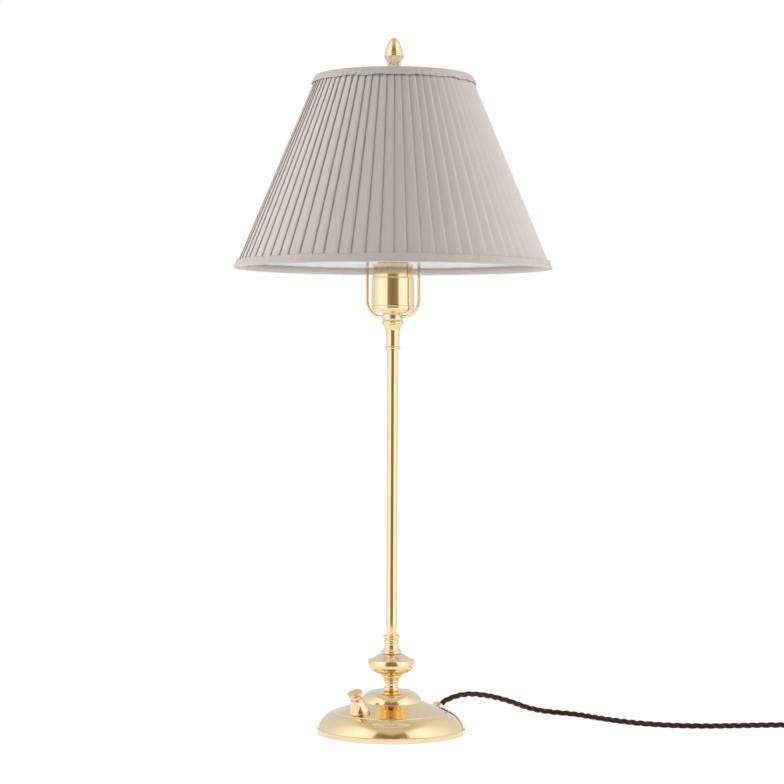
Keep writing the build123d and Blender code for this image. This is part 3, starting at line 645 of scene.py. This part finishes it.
# Aluminium, rolled to a thread: a pale grey mirror, finely mottled.
bulb_metal = grained(
    "rolled_aluminium", "#BFC0C1", "#D8D9DA", 0.001, 0.00002, Metallic=1.0, Roughness=0.25
)
dress(bulb_metal, "bulb_cap")

# PBT, moulded: a satin white with a 0.6 mm grain.
white_pbt = grained("moulded_pbt_white", "#DFDCD8", "#E8E6E2", 0.0006, 0.00003, Roughness=0.42)
dress(white_pbt, "bulb_housing")

# Polycarbonate with a light-scattering filler: a soft milky white.
opal = grained(
    "opal_polycarbonate",
    "#EDEAE4",
    "#F4F2EC",
    0.002,
    0.00001,
    Roughness=0.34,
    Subsurface_Weight=0.2,
    Subsurface_Radius=(0.004, 0.004, 0.004),
    Subsurface_Scale=1.0,
)
dress(opal, "bulb_globe")

# ---- shade frame --------------------------------------------------------------------------------
# A brass ring with three arms and a hub, and below it eight struts and a ring of steel wire with a
# white coat, all brazed together.

dress(drawn_brass, "shade_spider")
# Steel wire, dipped in white paint: satin, a little thick and uneven.
white_coat = grained("white_coated_wire", "#D9D7D2", "#E8E6E1", 0.002, 0.0001, Roughness=0.5)
dress(white_coat, "shade_bottom_ring", "shade_struts")

# ---- shade lining -------------------------------------------------------------------------------
# White cotton, cut to the cone and stretched between the two rings inside the struts. It is drawn
# in a little where it is sewn, so its edges pucker.

shade_foot, shade_top = 0.4340, 0.6140
shade_foot_radius, shade_top_radius = 0.1494, 0.0738
shade_slope = (shade_foot_radius - shade_top_radius) / (shade_top - shade_foot)
cloth_foot, cloth_top = 0.4351, 0.6129
cloth_rise = cloth_top - cloth_foot


def shade_reach(height, inset=0.0):
    """The radius of the shade's outside at a height, drawn in level by inset."""
    return shade_foot_radius - (height - shade_foot) * shade_slope - inset


def woven(name, colour, thread, turn=0.0, streak=0.1, **surface):
    """Plain woven cotton on the UV map "weave", in metres, with threads of this spacing."""
    slub_length, slub_width, thread_height = 1 / 40, 1 / 900, 0.00006
    material, tree, shader = new_material(name, **surface)
    cloth = add(tree, "ShaderNodeUVMap", uv_map="weave")
    turned_cloth = add(
        tree, "ShaderNodeMapping", {"Vector": cloth, "Rotation": (0.0, 0.0, radians(turn))}
    )
    axes = add(tree, "ShaderNodeSeparateXYZ", {0: turned_cloth})
    threads = []
    for axis in ("X", "Y"):
        along = add(tree, "ShaderNodeMath", {0: axes.outputs[axis], 1: 2 / thread}, operation="MULTIPLY")
        threads.append(add(tree, "ShaderNodeMath", {0: along, 1: 1.0}, operation="PINGPONG"))
    weave = add(tree, "ShaderNodeMath", {0: threads[0], 1: threads[1]}, operation="ADD")
    slubs = []
    for size_x, size_y in ((slub_width, slub_length), (slub_length, slub_width)):
        stretch = (1 / size_x, 1 / size_y, 1.0)
        drawn = add(tree, "ShaderNodeMapping", {"Vector": turned_cloth, "Scale": stretch})
        slubs.append(add(tree, "ShaderNodeTexNoise", {"Vector": drawn, "Scale": 1.0, "Detail": 2.0}))
    slub = add(
        tree, "ShaderNodeMath", {0: slubs[0].outputs["Fac"], 1: slubs[1].outputs["Fac"]}, operation="ADD"
    )
    shade_of_thread = add(
        tree,
        "ShaderNodeMapRange",
        {"Value": slub, "From Min": 0.7, "From Max": 1.3, "To Min": 1.0 - streak, "To Max": 1.0 + streak},
    )
    tinted = add(
        tree,
        "ShaderNodeMix",
        {"Factor": 1.0, "A": linear(colour), "B": shade_of_thread},
        data_type="RGBA",
        blend_type="MULTIPLY",
    )
    tree.links.new(tinted.outputs["Result"], shader.inputs["Base Color"])
    height = add(tree, "ShaderNodeMath", {0: slub, 1: 1.5, 2: weave}, operation="MULTIPLY_ADD")
    bump = add(tree, "ShaderNodeBump", {"Height": height, "Distance": thread_height, "Strength": 0.3})
    tree.links.new(bump.outputs["Normal"], shader.inputs["Normal"])
    return material


def cloth_band(name, outline, segments, material, shift):
    """A closed strip round the shade from (radius, height) points; shift moves each point a little."""
    vertices, faces, corners = [], [], []
    count = len(outline)
    along = [0.0]
    for here, there in zip(outline, outline[1:] + outline[:1]):
        along.append(along[-1] + hypot(there[0] - here[0], there[1] - here[1]))
    for segment in range(segments):
        turn = tau * segment / segments
        for index, (reach, height) in enumerate(outline):
            out, up = shift(turn, index)
            vertices.append(((reach + out) * cos(turn), (reach + out) * sin(turn), height + up))
    width = tau * outline[0][0]
    for segment in range(segments):
        here, there = segment * count, (segment + 1) % segments * count
        left, right = segment / segments * width, (segment + 1) / segments * width
        for index in range(count):
            beyond = (index + 1) % count
            low, high = along[index], along[index + 1]
            faces.append((here + index, here + beyond, there + beyond, there + index))
            corners += [(left, low), (left, high), (right, high), (right, low)]
    piece = new_piece(name, vertices, faces, material)
    layer = piece.data.uv_layers.new(name="weave")
    for corner, place in zip(layer.data, corners):
        corner.uv = place
    work = bmesh.new()
    work.from_mesh(piece.data)
    bmesh.ops.recalc_face_normals(work, faces=work.faces)
    work.to_mesh(piece.data)
    work.free()
    piece.data.set_sharp_from_angle(angle=radians(55))
    return piece


# Fine white cotton, 0.4 mm threads: matt, with a faint cool cast.
lining_cotton = woven(
    "lining_cotton_white", "#E9ECF0", 0.0004, streak=0.02, Roughness=0.9, Sheen_Weight=0.1
)
lining_outside, lining_inside = 0.0072, 0.0076  # in from the shade's outside
lining_rows, lining_segments = 16, 288
lining_heights = [cloth_foot + cloth_rise * row / lining_rows for row in range(lining_rows + 1)]
lining_outline = [(shade_reach(height, lining_outside), height) for height in lining_heights]
lining_outline += [(shade_reach(height, lining_inside), height) for height in lining_heights[::-1]]


def lining_pucker(turn, index):
    """Small radial gathers that are strongest at the sewn edges."""
    gather_depth, gathers_round, change_per_row = 0.0006, 14, 0.15
    row = min(index, 2 * lining_rows + 1 - index)
    near_edge = abs(2 * row / lining_rows - 1) ** 4
    spot = Vector((cos(turn) * gathers_round, sin(turn) * gathers_round, row * change_per_row))
    return gather_depth * near_edge * noise.noise(spot), 0.0


lining = cloth_band("lining", lining_outline, lining_segments, lining_cotton, lining_pucker)
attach(lining, "shade")
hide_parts("shade_lining")

# ---- pleated cover ------------------------------------------------------------------------------
# One strip of thin cotton, folded into 72 knife pleats that all lie the same way. The pleats keep
# their width of cloth from bottom to top, so they overlap far more at the small ring, where they
# are drawn together, than at the large one.

pleat_tree = bpy.data.node_groups.new("knife_pleats", "GeometryNodeTree")
for name, kind in (
    ("Pleats", "NodeSocketInt"),
    ("Foot Radius", "NodeSocketFloat"),
    ("Top Radius", "NodeSocketFloat"),
    ("Foot Height", "NodeSocketFloat"),
    ("Top Height", "NodeSocketFloat"),
    ("Cloth Width", "NodeSocketFloat"),
    ("Fold Depth", "NodeSocketFloat"),
    ("Layer", "NodeSocketFloat"),
    ("Crest Roll", "NodeSocketFloat"),
    ("Unevenness", "NodeSocketFloat"),
    ("Wobble", "NodeSocketFloat"),
    ("Seed", "NodeSocketInt"),
    ("Material", "NodeSocketMaterial"),
):
    pleat_tree.interface.new_socket(name, in_out="INPUT", socket_type=kind)
pleat_tree.interface.new_socket("Geometry", in_out="OUTPUT", socket_type="NodeSocketGeometry")
tree = pleat_tree
sizes = add(tree, "NodeGroupInput").outputs
columns_per_pleat, pleat_rows = 12, 24
columns = add(
    tree,
    "ShaderNodeMath",
    {0: sizes["Pleats"], 1: columns_per_pleat, 2: 1.0},
    operation="MULTIPLY_ADD",
)
strip = add(
    tree,
    "GeometryNodeMeshGrid",
    {"Size X": 1.0, "Size Y": 1.0, "Vertices X": columns, "Vertices Y": pleat_rows + 1},
)
place = add(tree, "GeometryNodeInputPosition")
axes = add(tree, "ShaderNodeSeparateXYZ", {0: place})
share_across = add(tree, "ShaderNodeMath", {0: axes.outputs["X"], 1: 0.5}, operation="ADD")
up = add(tree, "ShaderNodeMath", {0: axes.outputs["Y"], 1: 0.5}, operation="ADD")
across = add(tree, "ShaderNodeMath", {0: share_across, 1: sizes["Pleats"]}, operation="MULTIPLY")
rounding_guard = 0.001  # puts the column on a fold's edge in the pleat that starts there
nudged = add(tree, "ShaderNodeMath", {0: across, 1: rounding_guard}, operation="ADD")
pleat = add(tree, "ShaderNodeMath", {0: nudged}, operation="FLOOR")
next_pleat = add(tree, "ShaderNodeMath", {0: pleat, 1: 1.0}, operation="ADD")
inside = add(tree, "ShaderNodeMath", {0: across, 1: pleat}, operation="SUBTRACT")

# Each pleat's edge lies a little off its even place, and drifts as it goes up.
drift_up, drift_apart = 1.7, 5.3
edges = []
for number in (pleat, next_pleat):
    which = add(tree, "ShaderNodeMath", {0: number, 1: sizes["Pleats"]}, operation="MODULO")
    least = add(tree, "ShaderNodeMath", {0: sizes["Unevenness"], 1: -1.0}, operation="MULTIPLY")
    jump = add(
        tree,
        "FunctionNodeRandomValue",
        {"Min": least, "Max": sizes["Unevenness"], "ID": which, "Seed": sizes["Seed"]},
        data_type="FLOAT",
    )
    spread = add(tree, "ShaderNodeMath", {0: which, 1: drift_apart}, operation="MULTIPLY")
    rise = add(tree, "ShaderNodeMath", {0: up, 1: drift_up}, operation="MULTIPLY")
    spot = add(tree, "ShaderNodeCombineXYZ", {"X": rise, "Y": spread})
    drift = add(tree, "ShaderNodeTexNoise", {"Vector": spot, "Scale": 1.0, "Detail": 0.0})
    centred = add(tree, "ShaderNodeMath", {0: drift.outputs["Fac"], 1: 0.5}, operation="SUBTRACT")
    off = add(tree, "ShaderNodeMath", {0: centred, 1: sizes["Wobble"], 2: jump}, operation="MULTIPLY_ADD")
    edges.append(add(tree, "ShaderNodeMath", {0: number, 1: off}, operation="ADD"))

reach = add(
    tree, "ShaderNodeMapRange", {"Value": up, "To Min": sizes["Foot Radius"], "To Max": sizes["Top Radius"]}
)
height = add(
    tree, "ShaderNodeMapRange", {"Value": up, "To Min": sizes["Foot Height"], "To Max": sizes["Top Height"]}
)
round_it = add(tree, "ShaderNodeMath", {0: reach, 1: tau}, operation="MULTIPLY")
pitch = add(tree, "ShaderNodeMath", {0: round_it, 1: sizes["Pleats"]}, operation="DIVIDE")
pitches = add(tree, "ShaderNodeMath", {0: edges[1], 1: edges[0]}, operation="SUBTRACT")
visible = add(tree, "ShaderNodeMath", {0: pitches, 1: pitch}, operation="MULTIPLY")
spare = add(tree, "ShaderNodeMath", {0: sizes["Cloth Width"], 1: visible}, operation="SUBTRACT")
hidden = add(tree, "ShaderNodeMath", {0: spare, 1: 0.5}, operation="MULTIPLY")

# Half of a pleat's columns are its face, a quarter goes back under it, and a quarter runs ahead.
face_end, under_end = 0.5, 0.75
face_left = add(
    tree, "ShaderNodeMapRange", {"Value": inside, "From Max": face_end, "To Min": 1.0, "To Max": 0.0}
)
crowded = add(tree, "ShaderNodeMath", {0: face_left, 1: face_left}, operation="MULTIPLY")
face_share = add(tree, "ShaderNodeMath", {0: 1.0, 1: crowded}, operation="SUBTRACT")
back_share = add(tree, "ShaderNodeMapRange", {"Value": inside, "From Min": face_end, "From Max": under_end})
ahead_share = add(tree, "ShaderNodeMapRange", {"Value": inside, "From Min": under_end, "From Max": 1.0})
over = add(tree, "ShaderNodeMath", {0: face_share, 1: visible}, operation="MULTIPLY")
turned_by = add(tree, "ShaderNodeMath", {0: ahead_share, 1: back_share}, operation="SUBTRACT")
moved = add(tree, "ShaderNodeMath", {0: turned_by, 1: hidden, 2: over}, operation="MULTIPLY_ADD")
start = add(tree, "ShaderNodeMath", {0: edges[0], 1: pitch}, operation="MULTIPLY")
arc = add(tree, "ShaderNodeMath", {0: start, 1: moved}, operation="ADD")
angle = add(tree, "ShaderNodeMath", {0: arc, 1: reach}, operation="DIVIDE")
from_back = add(tree, "ShaderNodeMath", {0: angle, 1: pi / 2}, operation="ADD")

# The face slopes out to its crest, and the crest rolls in over its last stretch.
crest_from = 0.78
ramp_left = add(tree, "ShaderNodeMath", {0: 1.0, 1: face_share}, operation="SUBTRACT")
near_crest = add(tree, "ShaderNodeMapRange", {"Value": face_share, "From Min": crest_from, "From Max": 1.0})
rolled = add(tree, "ShaderNodeMath", {0: near_crest, 1: near_crest}, operation="MULTIPLY")
not_ahead = add(tree, "ShaderNodeMath", {0: 1.0, 1: ahead_share}, operation="SUBTRACT")
roll_share = add(tree, "ShaderNodeMath", {0: rolled, 1: not_ahead}, operation="MULTIPLY")
roll_depth = add(tree, "ShaderNodeMath", {0: roll_share, 1: sizes["Crest Roll"]}, operation="MULTIPLY")
ramp_depth = add(
    tree, "ShaderNodeMath", {0: ramp_left, 1: sizes["Fold Depth"], 2: roll_depth}, operation="MULTIPLY_ADD"
)
steepness = add(tree, "ShaderNodeMath", {0: sizes["Fold Depth"], 1: visible}, operation="DIVIDE")
tuck = add(tree, "ShaderNodeMath", {0: turned_by, 1: hidden}, operation="MULTIPLY")
tuck_depth = add(tree, "ShaderNodeMath", {0: tuck, 1: steepness}, operation="MULTIPLY")
ramp_and_tuck = add(tree, "ShaderNodeMath", {0: ramp_depth, 1: tuck_depth}, operation="SUBTRACT")
with_layer = add(
    tree, "ShaderNodeMath", {0: back_share, 1: sizes["Layer"], 2: ramp_and_tuck}, operation="MULTIPLY_ADD"
)
rest_depth = add(tree, "ShaderNodeMath", {0: sizes["Fold Depth"], 1: sizes["Layer"]}, operation="SUBTRACT")
depth = add(tree, "ShaderNodeMath", {0: ahead_share, 1: rest_depth, 2: with_layer}, operation="MULTIPLY_ADD")
cloth_reach = add(tree, "ShaderNodeMath", {0: reach, 1: depth}, operation="SUBTRACT")
cosine = add(tree, "ShaderNodeMath", {0: from_back}, operation="COSINE")
sine = add(tree, "ShaderNodeMath", {0: from_back}, operation="SINE")
x = add(tree, "ShaderNodeMath", {0: cloth_reach, 1: cosine}, operation="MULTIPLY")
y = add(tree, "ShaderNodeMath", {0: cloth_reach, 1: sine}, operation="MULTIPLY")
folded = add(tree, "ShaderNodeCombineXYZ", {"X": x, "Y": y, "Z": height})

tall = add(tree, "ShaderNodeMath", {0: sizes["Top Height"], 1: sizes["Foot Height"]}, operation="SUBTRACT")
cloth_x = add(tree, "ShaderNodeMath", {0: across, 1: sizes["Cloth Width"]}, operation="MULTIPLY")
cloth_y = add(tree, "ShaderNodeMath", {0: up, 1: tall}, operation="MULTIPLY")
cloth_place = add(tree, "ShaderNodeCombineXYZ", {"X": cloth_x, "Y": cloth_y})
marked = add(
    tree,
    "GeometryNodeStoreNamedAttribute",
    {"Geometry": strip.outputs["Mesh"], "Name": "weave", "Value": cloth_place},
    data_type="FLOAT2",
    domain="CORNER",
)
shaped = add(tree, "GeometryNodeSetPosition", {"Geometry": marked, "Position": folded})
seam_reach = 0.00001
closed = add(tree, "GeometryNodeMergeByDistance", {"Geometry": shaped, "Distance": seam_reach})
smooth = add(tree, "GeometryNodeSetShadeSmooth", {"Geometry": closed})
real = add(tree, "GeometryNodeRealizeInstances", {"Geometry": smooth})
done = add(tree, "GeometryNodeSetMaterial", {"Geometry": real, "Material": sizes["Material"]})
add(tree, "NodeGroupOutput", {"Geometry": done})

# Cotton sateen, 0.35 mm threads, dyed a greyish rose: matt, with a soft sheen across the folds.
cover_cotton = woven(
    "sateen_rose_grey",
    "#C8BEBB",
    0.00035,
    streak=0.02,
    Roughness=0.78,
    Sheen_Weight=0.15,
    Sheen_Roughness=0.4,
    Subsurface_Weight=0.35,
    Subsurface_Radius=(0.0016, 0.0015, 0.0014),
    Subsurface_Scale=1.0,
)
pleat_count, pleat_cloth = 72, 0.0165
crest_inset, cloth_thickness = 0.00115, 0.00025
cover = node_piece(
    "pleated_cover",
    pleat_tree,
    Pleats=pleat_count,
    Foot_Radius=shade_reach(cloth_foot, crest_inset),
    Top_Radius=shade_reach(cloth_top, crest_inset),
    Foot_Height=cloth_foot,
    Top_Height=cloth_top,
    Cloth_Width=pleat_cloth,
    Fold_Depth=0.0016,
    Layer=0.0004,
    Crest_Roll=0.0009,
    Unevenness=0.11,
    Wobble=0.12,
    Seed=4,
    Material=cover_cotton,
)
cover.data.set_sharp_from_angle(angle=radians(40))
thickness = cover.modifiers.new("cloth_thickness", "SOLIDIFY")
thickness.thickness = cloth_thickness
thickness.offset = -1.0
cover = settled(cover)
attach(cover, "shade")
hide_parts("shade_cover")

# ---- bindings -----------------------------------------------------------------------------------
# A strip of the same cotton, cut on the bias, folded over each edge of the shade and glued down.
# Its edge is turned under, so it stands a little proud and wavers where it crosses the pleats.

# The cover's cotton, doubled and so a little darker. Its threads lie at 45 degrees and are drawn
# 0.5 mm apart, so that they show.
bias_cotton = woven(
    "bias_binding_rose_grey", "#BFB6B3", 0.0005, turn=45.0, streak=0.03, Roughness=0.8, Sheen_Weight=0.15
)
binding_inner, binding_segments = 0.0080, 720
binding_height = 0.0080
free_edge_points = 5  # the first points of the section are its turned-under edge


def binding(name, edge, up, outer_height, material):
    """A folded strip over the edge at this height; up is 1 over the lower edge and -1 over the upper."""
    ripple, slow_sway, fine_sway, swelling, edge_sag = 0.00025, 0.0010, 0.0006, 0.00030, 0.0003
    slow, fine, broad, along_section = 9, 31, 17, 0.2  # how fast each of them changes
    section = [
        (0.0009, outer_height - 0.0006),
        (0.0006, outer_height),
        (0.0001, outer_height - 0.0002),
        (-0.0002, outer_height - 0.0010),
        (0.0001, outer_height - 0.0020),
        (0.0000, 0.0036),
        (0.0001, 0.0014),
        (0.0005, 0.0005),
        (0.0013, 0.0001),
        (0.0045, 0.0000),
        (binding_inner, 0.0001),
        (binding_inner + 0.0006, 0.0006),
        (binding_inner + 0.0009, 0.0016),
        (binding_inner + 0.0009, 0.0054),
        (binding_inner + 0.0004, 0.0060),
        (binding_inner, 0.0054),
        (binding_inner, 0.0012),
        (0.0045, 0.0009),
        (0.0012, 0.0010),
        (0.0009, 0.0020),
        (0.0009, 0.0040),
    ]
    outline = [(shade_reach(edge + up * rise, inset), edge + up * rise) for inset, rise in section]

    def waver(turn, index):
        """The free edge goes up and down a little, and the band follows the pleats under it."""
        place = Vector((cos(turn), sin(turn), up * 3.0))
        edge_share = 1.0 if index < free_edge_points else 0.35 if index == free_edge_points else 0.0
        over_pleats = ripple * sin(pleat_count * turn) * edge_share
        sway = noise.noise(place * slow) * slow_sway + noise.noise(place * fine) * fine_sway
        swell = swelling * noise.noise(place * broad + Vector((0, 0, index * along_section)))
        return over_pleats + swell, up * (sway * edge_share - edge_sag * edge_share)

    piece = cloth_band(name, outline, binding_segments, material, waver)
    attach(piece, "shade")
    return piece


lower_binding = binding("lower_binding", shade_foot, 1, binding_height, bias_cotton)
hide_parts("shade_bottom_trim")
upper_binding = binding("upper_binding", shade_top, -1, binding_height, bias_cotton)
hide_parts("shade_top_trim")

# ---- finial -------------------------------------------------------------------------------------
# An acorn turned from brass rod, screwed on the stud to hold the shade down: a waisted foot, a ring,
# a fine step and the plump nut above it, which ends in a small point.

# radius and height, from the seat on the shade's hub up to the tip
finial_outline = [
    (0.0, 0.6129),
    (0.0063, 0.6129),
    (0.0065, 0.6135),
    (0.0065, 0.6150),
    (0.0063, 0.6159),
    (0.0055, 0.6172),
    (0.0052, 0.6195),
    (0.0054, 0.6216),
    (0.0058, 0.6234),
    (0.0062, 0.6250),
    (0.0065, 0.6265),
    (0.0069, 0.6281),
    (0.0075, 0.6292),
    (0.0082, 0.6303),
    (0.0089, 0.6314),
    (0.0091, 0.6318),
    (0.00935, 0.6323),
    (0.00945, 0.6329),
    (0.00935, 0.6335),
    (0.0091, 0.6340),
    (0.0086, 0.6342),
    (0.00855, 0.6345),
    (0.0087, 0.6349),
    (0.0087, 0.6354),
    (0.0084, 0.6358),
    (0.0083, 0.6359),
    (0.00845, 0.6364),
    (0.0083, 0.6376),
    (0.0080, 0.6388),
    (0.0076, 0.6401),
    (0.0071, 0.6415),
    (0.0066, 0.6429),
    (0.0060, 0.6442),
    (0.0053, 0.6455),
    (0.0045, 0.6467),
    (0.0036, 0.6478),
    (0.0026, 0.6487),
    (0.0016, 0.6494),
    (0.0008, 0.6498),
    (0.0, 0.6500),
]
finial = lathed("acorn_finial", finial_outline, turned_brass, sharp=50.0)
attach(finial, "finial")
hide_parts("finial")

# ---- switch and cord outlet ---------------------------------------------------------------------
# A push switch stands on the foot's shoulder: a turned ring and bell nut, a black body below, and
# a button with a matt top. A small brass outlet holds the cord at the back right.

dress(drawn_brass, "switch_ring", "switch_bell", "cord_ferrule")
# Brass with a satin, slightly coppery top where fingers press it.
satin_brass = brass("satin_brass", "#EFCBA4", 0.25)
dress(satin_brass, "switch_button")
# Phenolic resin, pressed: a dull black with a 0.7 mm mottle.
phenolic = grained("pressed_phenolic", "#121212", "#1D1C1B", 0.0007, 0.00003, Roughness=0.45)
dress(phenolic, "switch_body")

# ---- leads in the foot and tube -----------------------------------------------------------------
# The cord's tail, the lead up the tube and the lead to the switch meet at a terminal block in the
# iron weight. The leads are copper in plastic, and the block is moulded.

# PVC over copper, extruded: a smooth ivory.
lead_pvc = grained("extruded_pvc_ivory", "#CFCBBF", "#DBD8CE", 0.0012, 0.00002, Roughness=0.4)
dress(lead_pvc, "tube_lead", "switch_lead")
# Nylon, moulded: translucent white with a fine grain.
nylon = grained("moulded_nylon", "#D3D2CC", "#E3E2DD", 0.0008, 0.00003, Roughness=0.38)
dress(nylon, "terminal_block")
# The tail is the cord's braided cotton, drawn as a grain of 0.8 mm.
tail_cotton = grained("braided_cotton_tail", "#120807", "#3B201B", 0.0008, 0.0002, Roughness=0.85)
dress(tail_cotton, "supply_tail")

# ---- studio -------------------------------------------------------------------------------------
# A white table that shows as pure white, a dark room in front, and bright screens at both sides.
# The brass mirrors the room, which gives it the dark stripe down its middle and its pale sides.

table_radius, table_sides = 0.85, 96
table_level = 1.07
dim_to, bright_from, dim_share = 0.2, 0.6, 0.8  # the table glows less within 0.2 m of the lamp
white = linear("#FFFFFF")
white_table, tree, shader = new_material("white_table", Base_Color=linear("#F4F4F4"), Roughness=0.9)
place = add(tree, "ShaderNodeTexCoord")
from_middle = add(tree, "ShaderNodeVectorMath", {0: place.outputs["Object"]}, operation="LENGTH")
lit = add(
    tree,
    "ShaderNodeMapRange",
    {
        "Value": from_middle.outputs["Value"],
        "From Min": dim_to,
        "From Max": bright_from,
        "To Min": dim_share,
        "To Max": 1.0,
    },
    interpolation_type="SMOOTHSTEP",
)
rays = add(tree, "ShaderNodeLightPath")
seen = add(
    tree,
    "ShaderNodeMath",
    {0: rays.outputs["Is Camera Ray"], 1: rays.outputs["Is Glossy Ray"]},
    operation="MAXIMUM",
)
seen_through = add(
    tree, "ShaderNodeMath", {0: seen, 1: rays.outputs["Is Transmission Ray"]}, operation="MAXIMUM"
)
share = add(tree, "ShaderNodeMath", {0: lit, 1: seen_through}, operation="MULTIPLY")
backlit = add(tree, "ShaderNodeEmission", {"Color": white, "Strength": table_level})
surface = add(tree, "ShaderNodeMixShader", {0: share, 1: shader.outputs["BSDF"], 2: backlit})
tree.links.new(surface.outputs["Shader"], tree.nodes["Material Output"].inputs["Surface"])
turns = [tau * k / table_sides for k in range(table_sides)]
rim = [(table_radius * cos(turn), table_radius * sin(turn), 0.0) for turn in turns]
table = new_piece("white_table", rim, [tuple(range(table_sides))], white_table)

# The room's light by degrees off the front: dark, then the screens, then the wall behind.
room_light = {
    0: (0.21, 0.165, 0.10),
    14: (0.23, 0.18, 0.11),
    27: (0.34, 0.29, 0.21),
    34: (0.94, 0.93, 0.90),
    62: (1.12, 1.12, 1.12),
    90: (0.90, 0.90, 0.90),
    120: (0.72, 0.72, 0.72),
    180: (0.55, 0.55, 0.55),
}
ceiling_light = (0.56, 0.51, 0.43, 1.0)
ceiling_from, ceiling_full, screens_reach = 0.58, 0.82, 0.42  # the screens reach higher at the sides
level_on_cloth, level_in_brass = 0.54, 1.22
world = bpy.data.worlds.new("studio")
bpy.context.scene.world = world
world.use_nodes = True
tree = world.node_tree
tree.nodes.clear()
ways = add(tree, "ShaderNodeTexCoord")
axes = add(tree, "ShaderNodeSeparateXYZ", {0: ways.outputs["Generated"]})
ahead = add(tree, "ShaderNodeMath", {0: axes.outputs["Y"], 1: -1.0}, operation="MULTIPLY")
bearing = add(tree, "ShaderNodeMath", {0: axes.outputs["X"], 1: ahead}, operation="ARCTAN2")
off_front = add(tree, "ShaderNodeMath", {0: bearing}, operation="ABSOLUTE")
half_turn_share = add(tree, "ShaderNodeMath", {0: off_front, 1: 1 / pi}, operation="MULTIPLY")
room = add(tree, "ShaderNodeValToRGB", {"Fac": half_turn_share})
stops = room.color_ramp.elements
stops.remove(stops[1])
for degrees_off, colour in room_light.items():
    stop = stops.new(degrees_off / 180) if degrees_off else stops[0]
    stop.color = (*colour, 1.0)
sideways = add(tree, "ShaderNodeMath", {0: axes.outputs["X"]}, operation="ABSOLUTE")
over_screens = add(
    tree,
    "ShaderNodeMath",
    {0: sideways, 1: -screens_reach, 2: axes.outputs["Z"]},
    operation="MULTIPLY_ADD",
)
above = add(
    tree,
    "ShaderNodeMapRange",
    {"Value": over_screens, "From Min": ceiling_from, "From Max": ceiling_full},
    interpolation_type="SMOOTHSTEP",
)
studio = add(tree, "ShaderNodeMix", {"Factor": above, "A": room, "B": ceiling_light}, data_type="RGBA")
rays = add(tree, "ShaderNodeLightPath")
seen = add(
    tree,
    "ShaderNodeMath",
    {0: rays.outputs["Is Camera Ray"], 1: rays.outputs["Is Transmission Ray"]},
    operation="MAXIMUM",
)
studio_level = add(
    tree,
    "ShaderNodeMix",
    {"Factor": rays.outputs["Is Glossy Ray"], "A": level_on_cloth, "B": level_in_brass},
    data_type="FLOAT",
)
studio_light = add(
    tree,
    "ShaderNodeBackground",
    {"Color": studio.outputs["Result"], "Strength": studio_level.outputs["Result"]},
)
backdrop = add(tree, "ShaderNodeBackground", {"Color": white, "Strength": 1.0})
both = add(tree, "ShaderNodeMixShader", {0: seen, 1: studio_light, 2: backdrop})
add(tree, "ShaderNodeOutputWorld", {"Surface": both})

side_lamp_power, aimed_at = 32.0, Vector((0, 0, 0.4))
for name, side in (("lamp_left", -1), ("lamp_right", 1)):
    light = bpy.data.lights.new(name, "AREA")
    light.shape = "RECTANGLE"
    light.size, light.size_y = 1.7, 1.3
    light.energy = side_lamp_power
    lamp = bpy.data.objects.new(name, light)
    lamp.location = (side * 1.75, -0.5, 0.9)
    lamp.rotation_euler = (aimed_at - lamp.location).to_track_quat("-Z", "Y").to_euler()
    lamp.visible_glossy = False
    bpy.context.scene.collection.objects.link(lamp)

# The bright table throws light up into the shade.
glow_size, glow_power, glow_spread, glow_height = 0.5, 0.7, radians(110), 0.004
light = bpy.data.lights.new("table_glow", "AREA")
light.size, light.energy, light.spread = glow_size, glow_power, glow_spread
glow = bpy.data.objects.new("table_glow", light)
glow.location = (0.0, 0.0, glow_height)
glow.rotation_euler = (pi, 0.0, 0.0)
glow.visible_glossy = glow.visible_camera = False
bpy.context.scene.collection.objects.link(glow)

bpy.context.scene.view_settings.view_transform = "Standard"
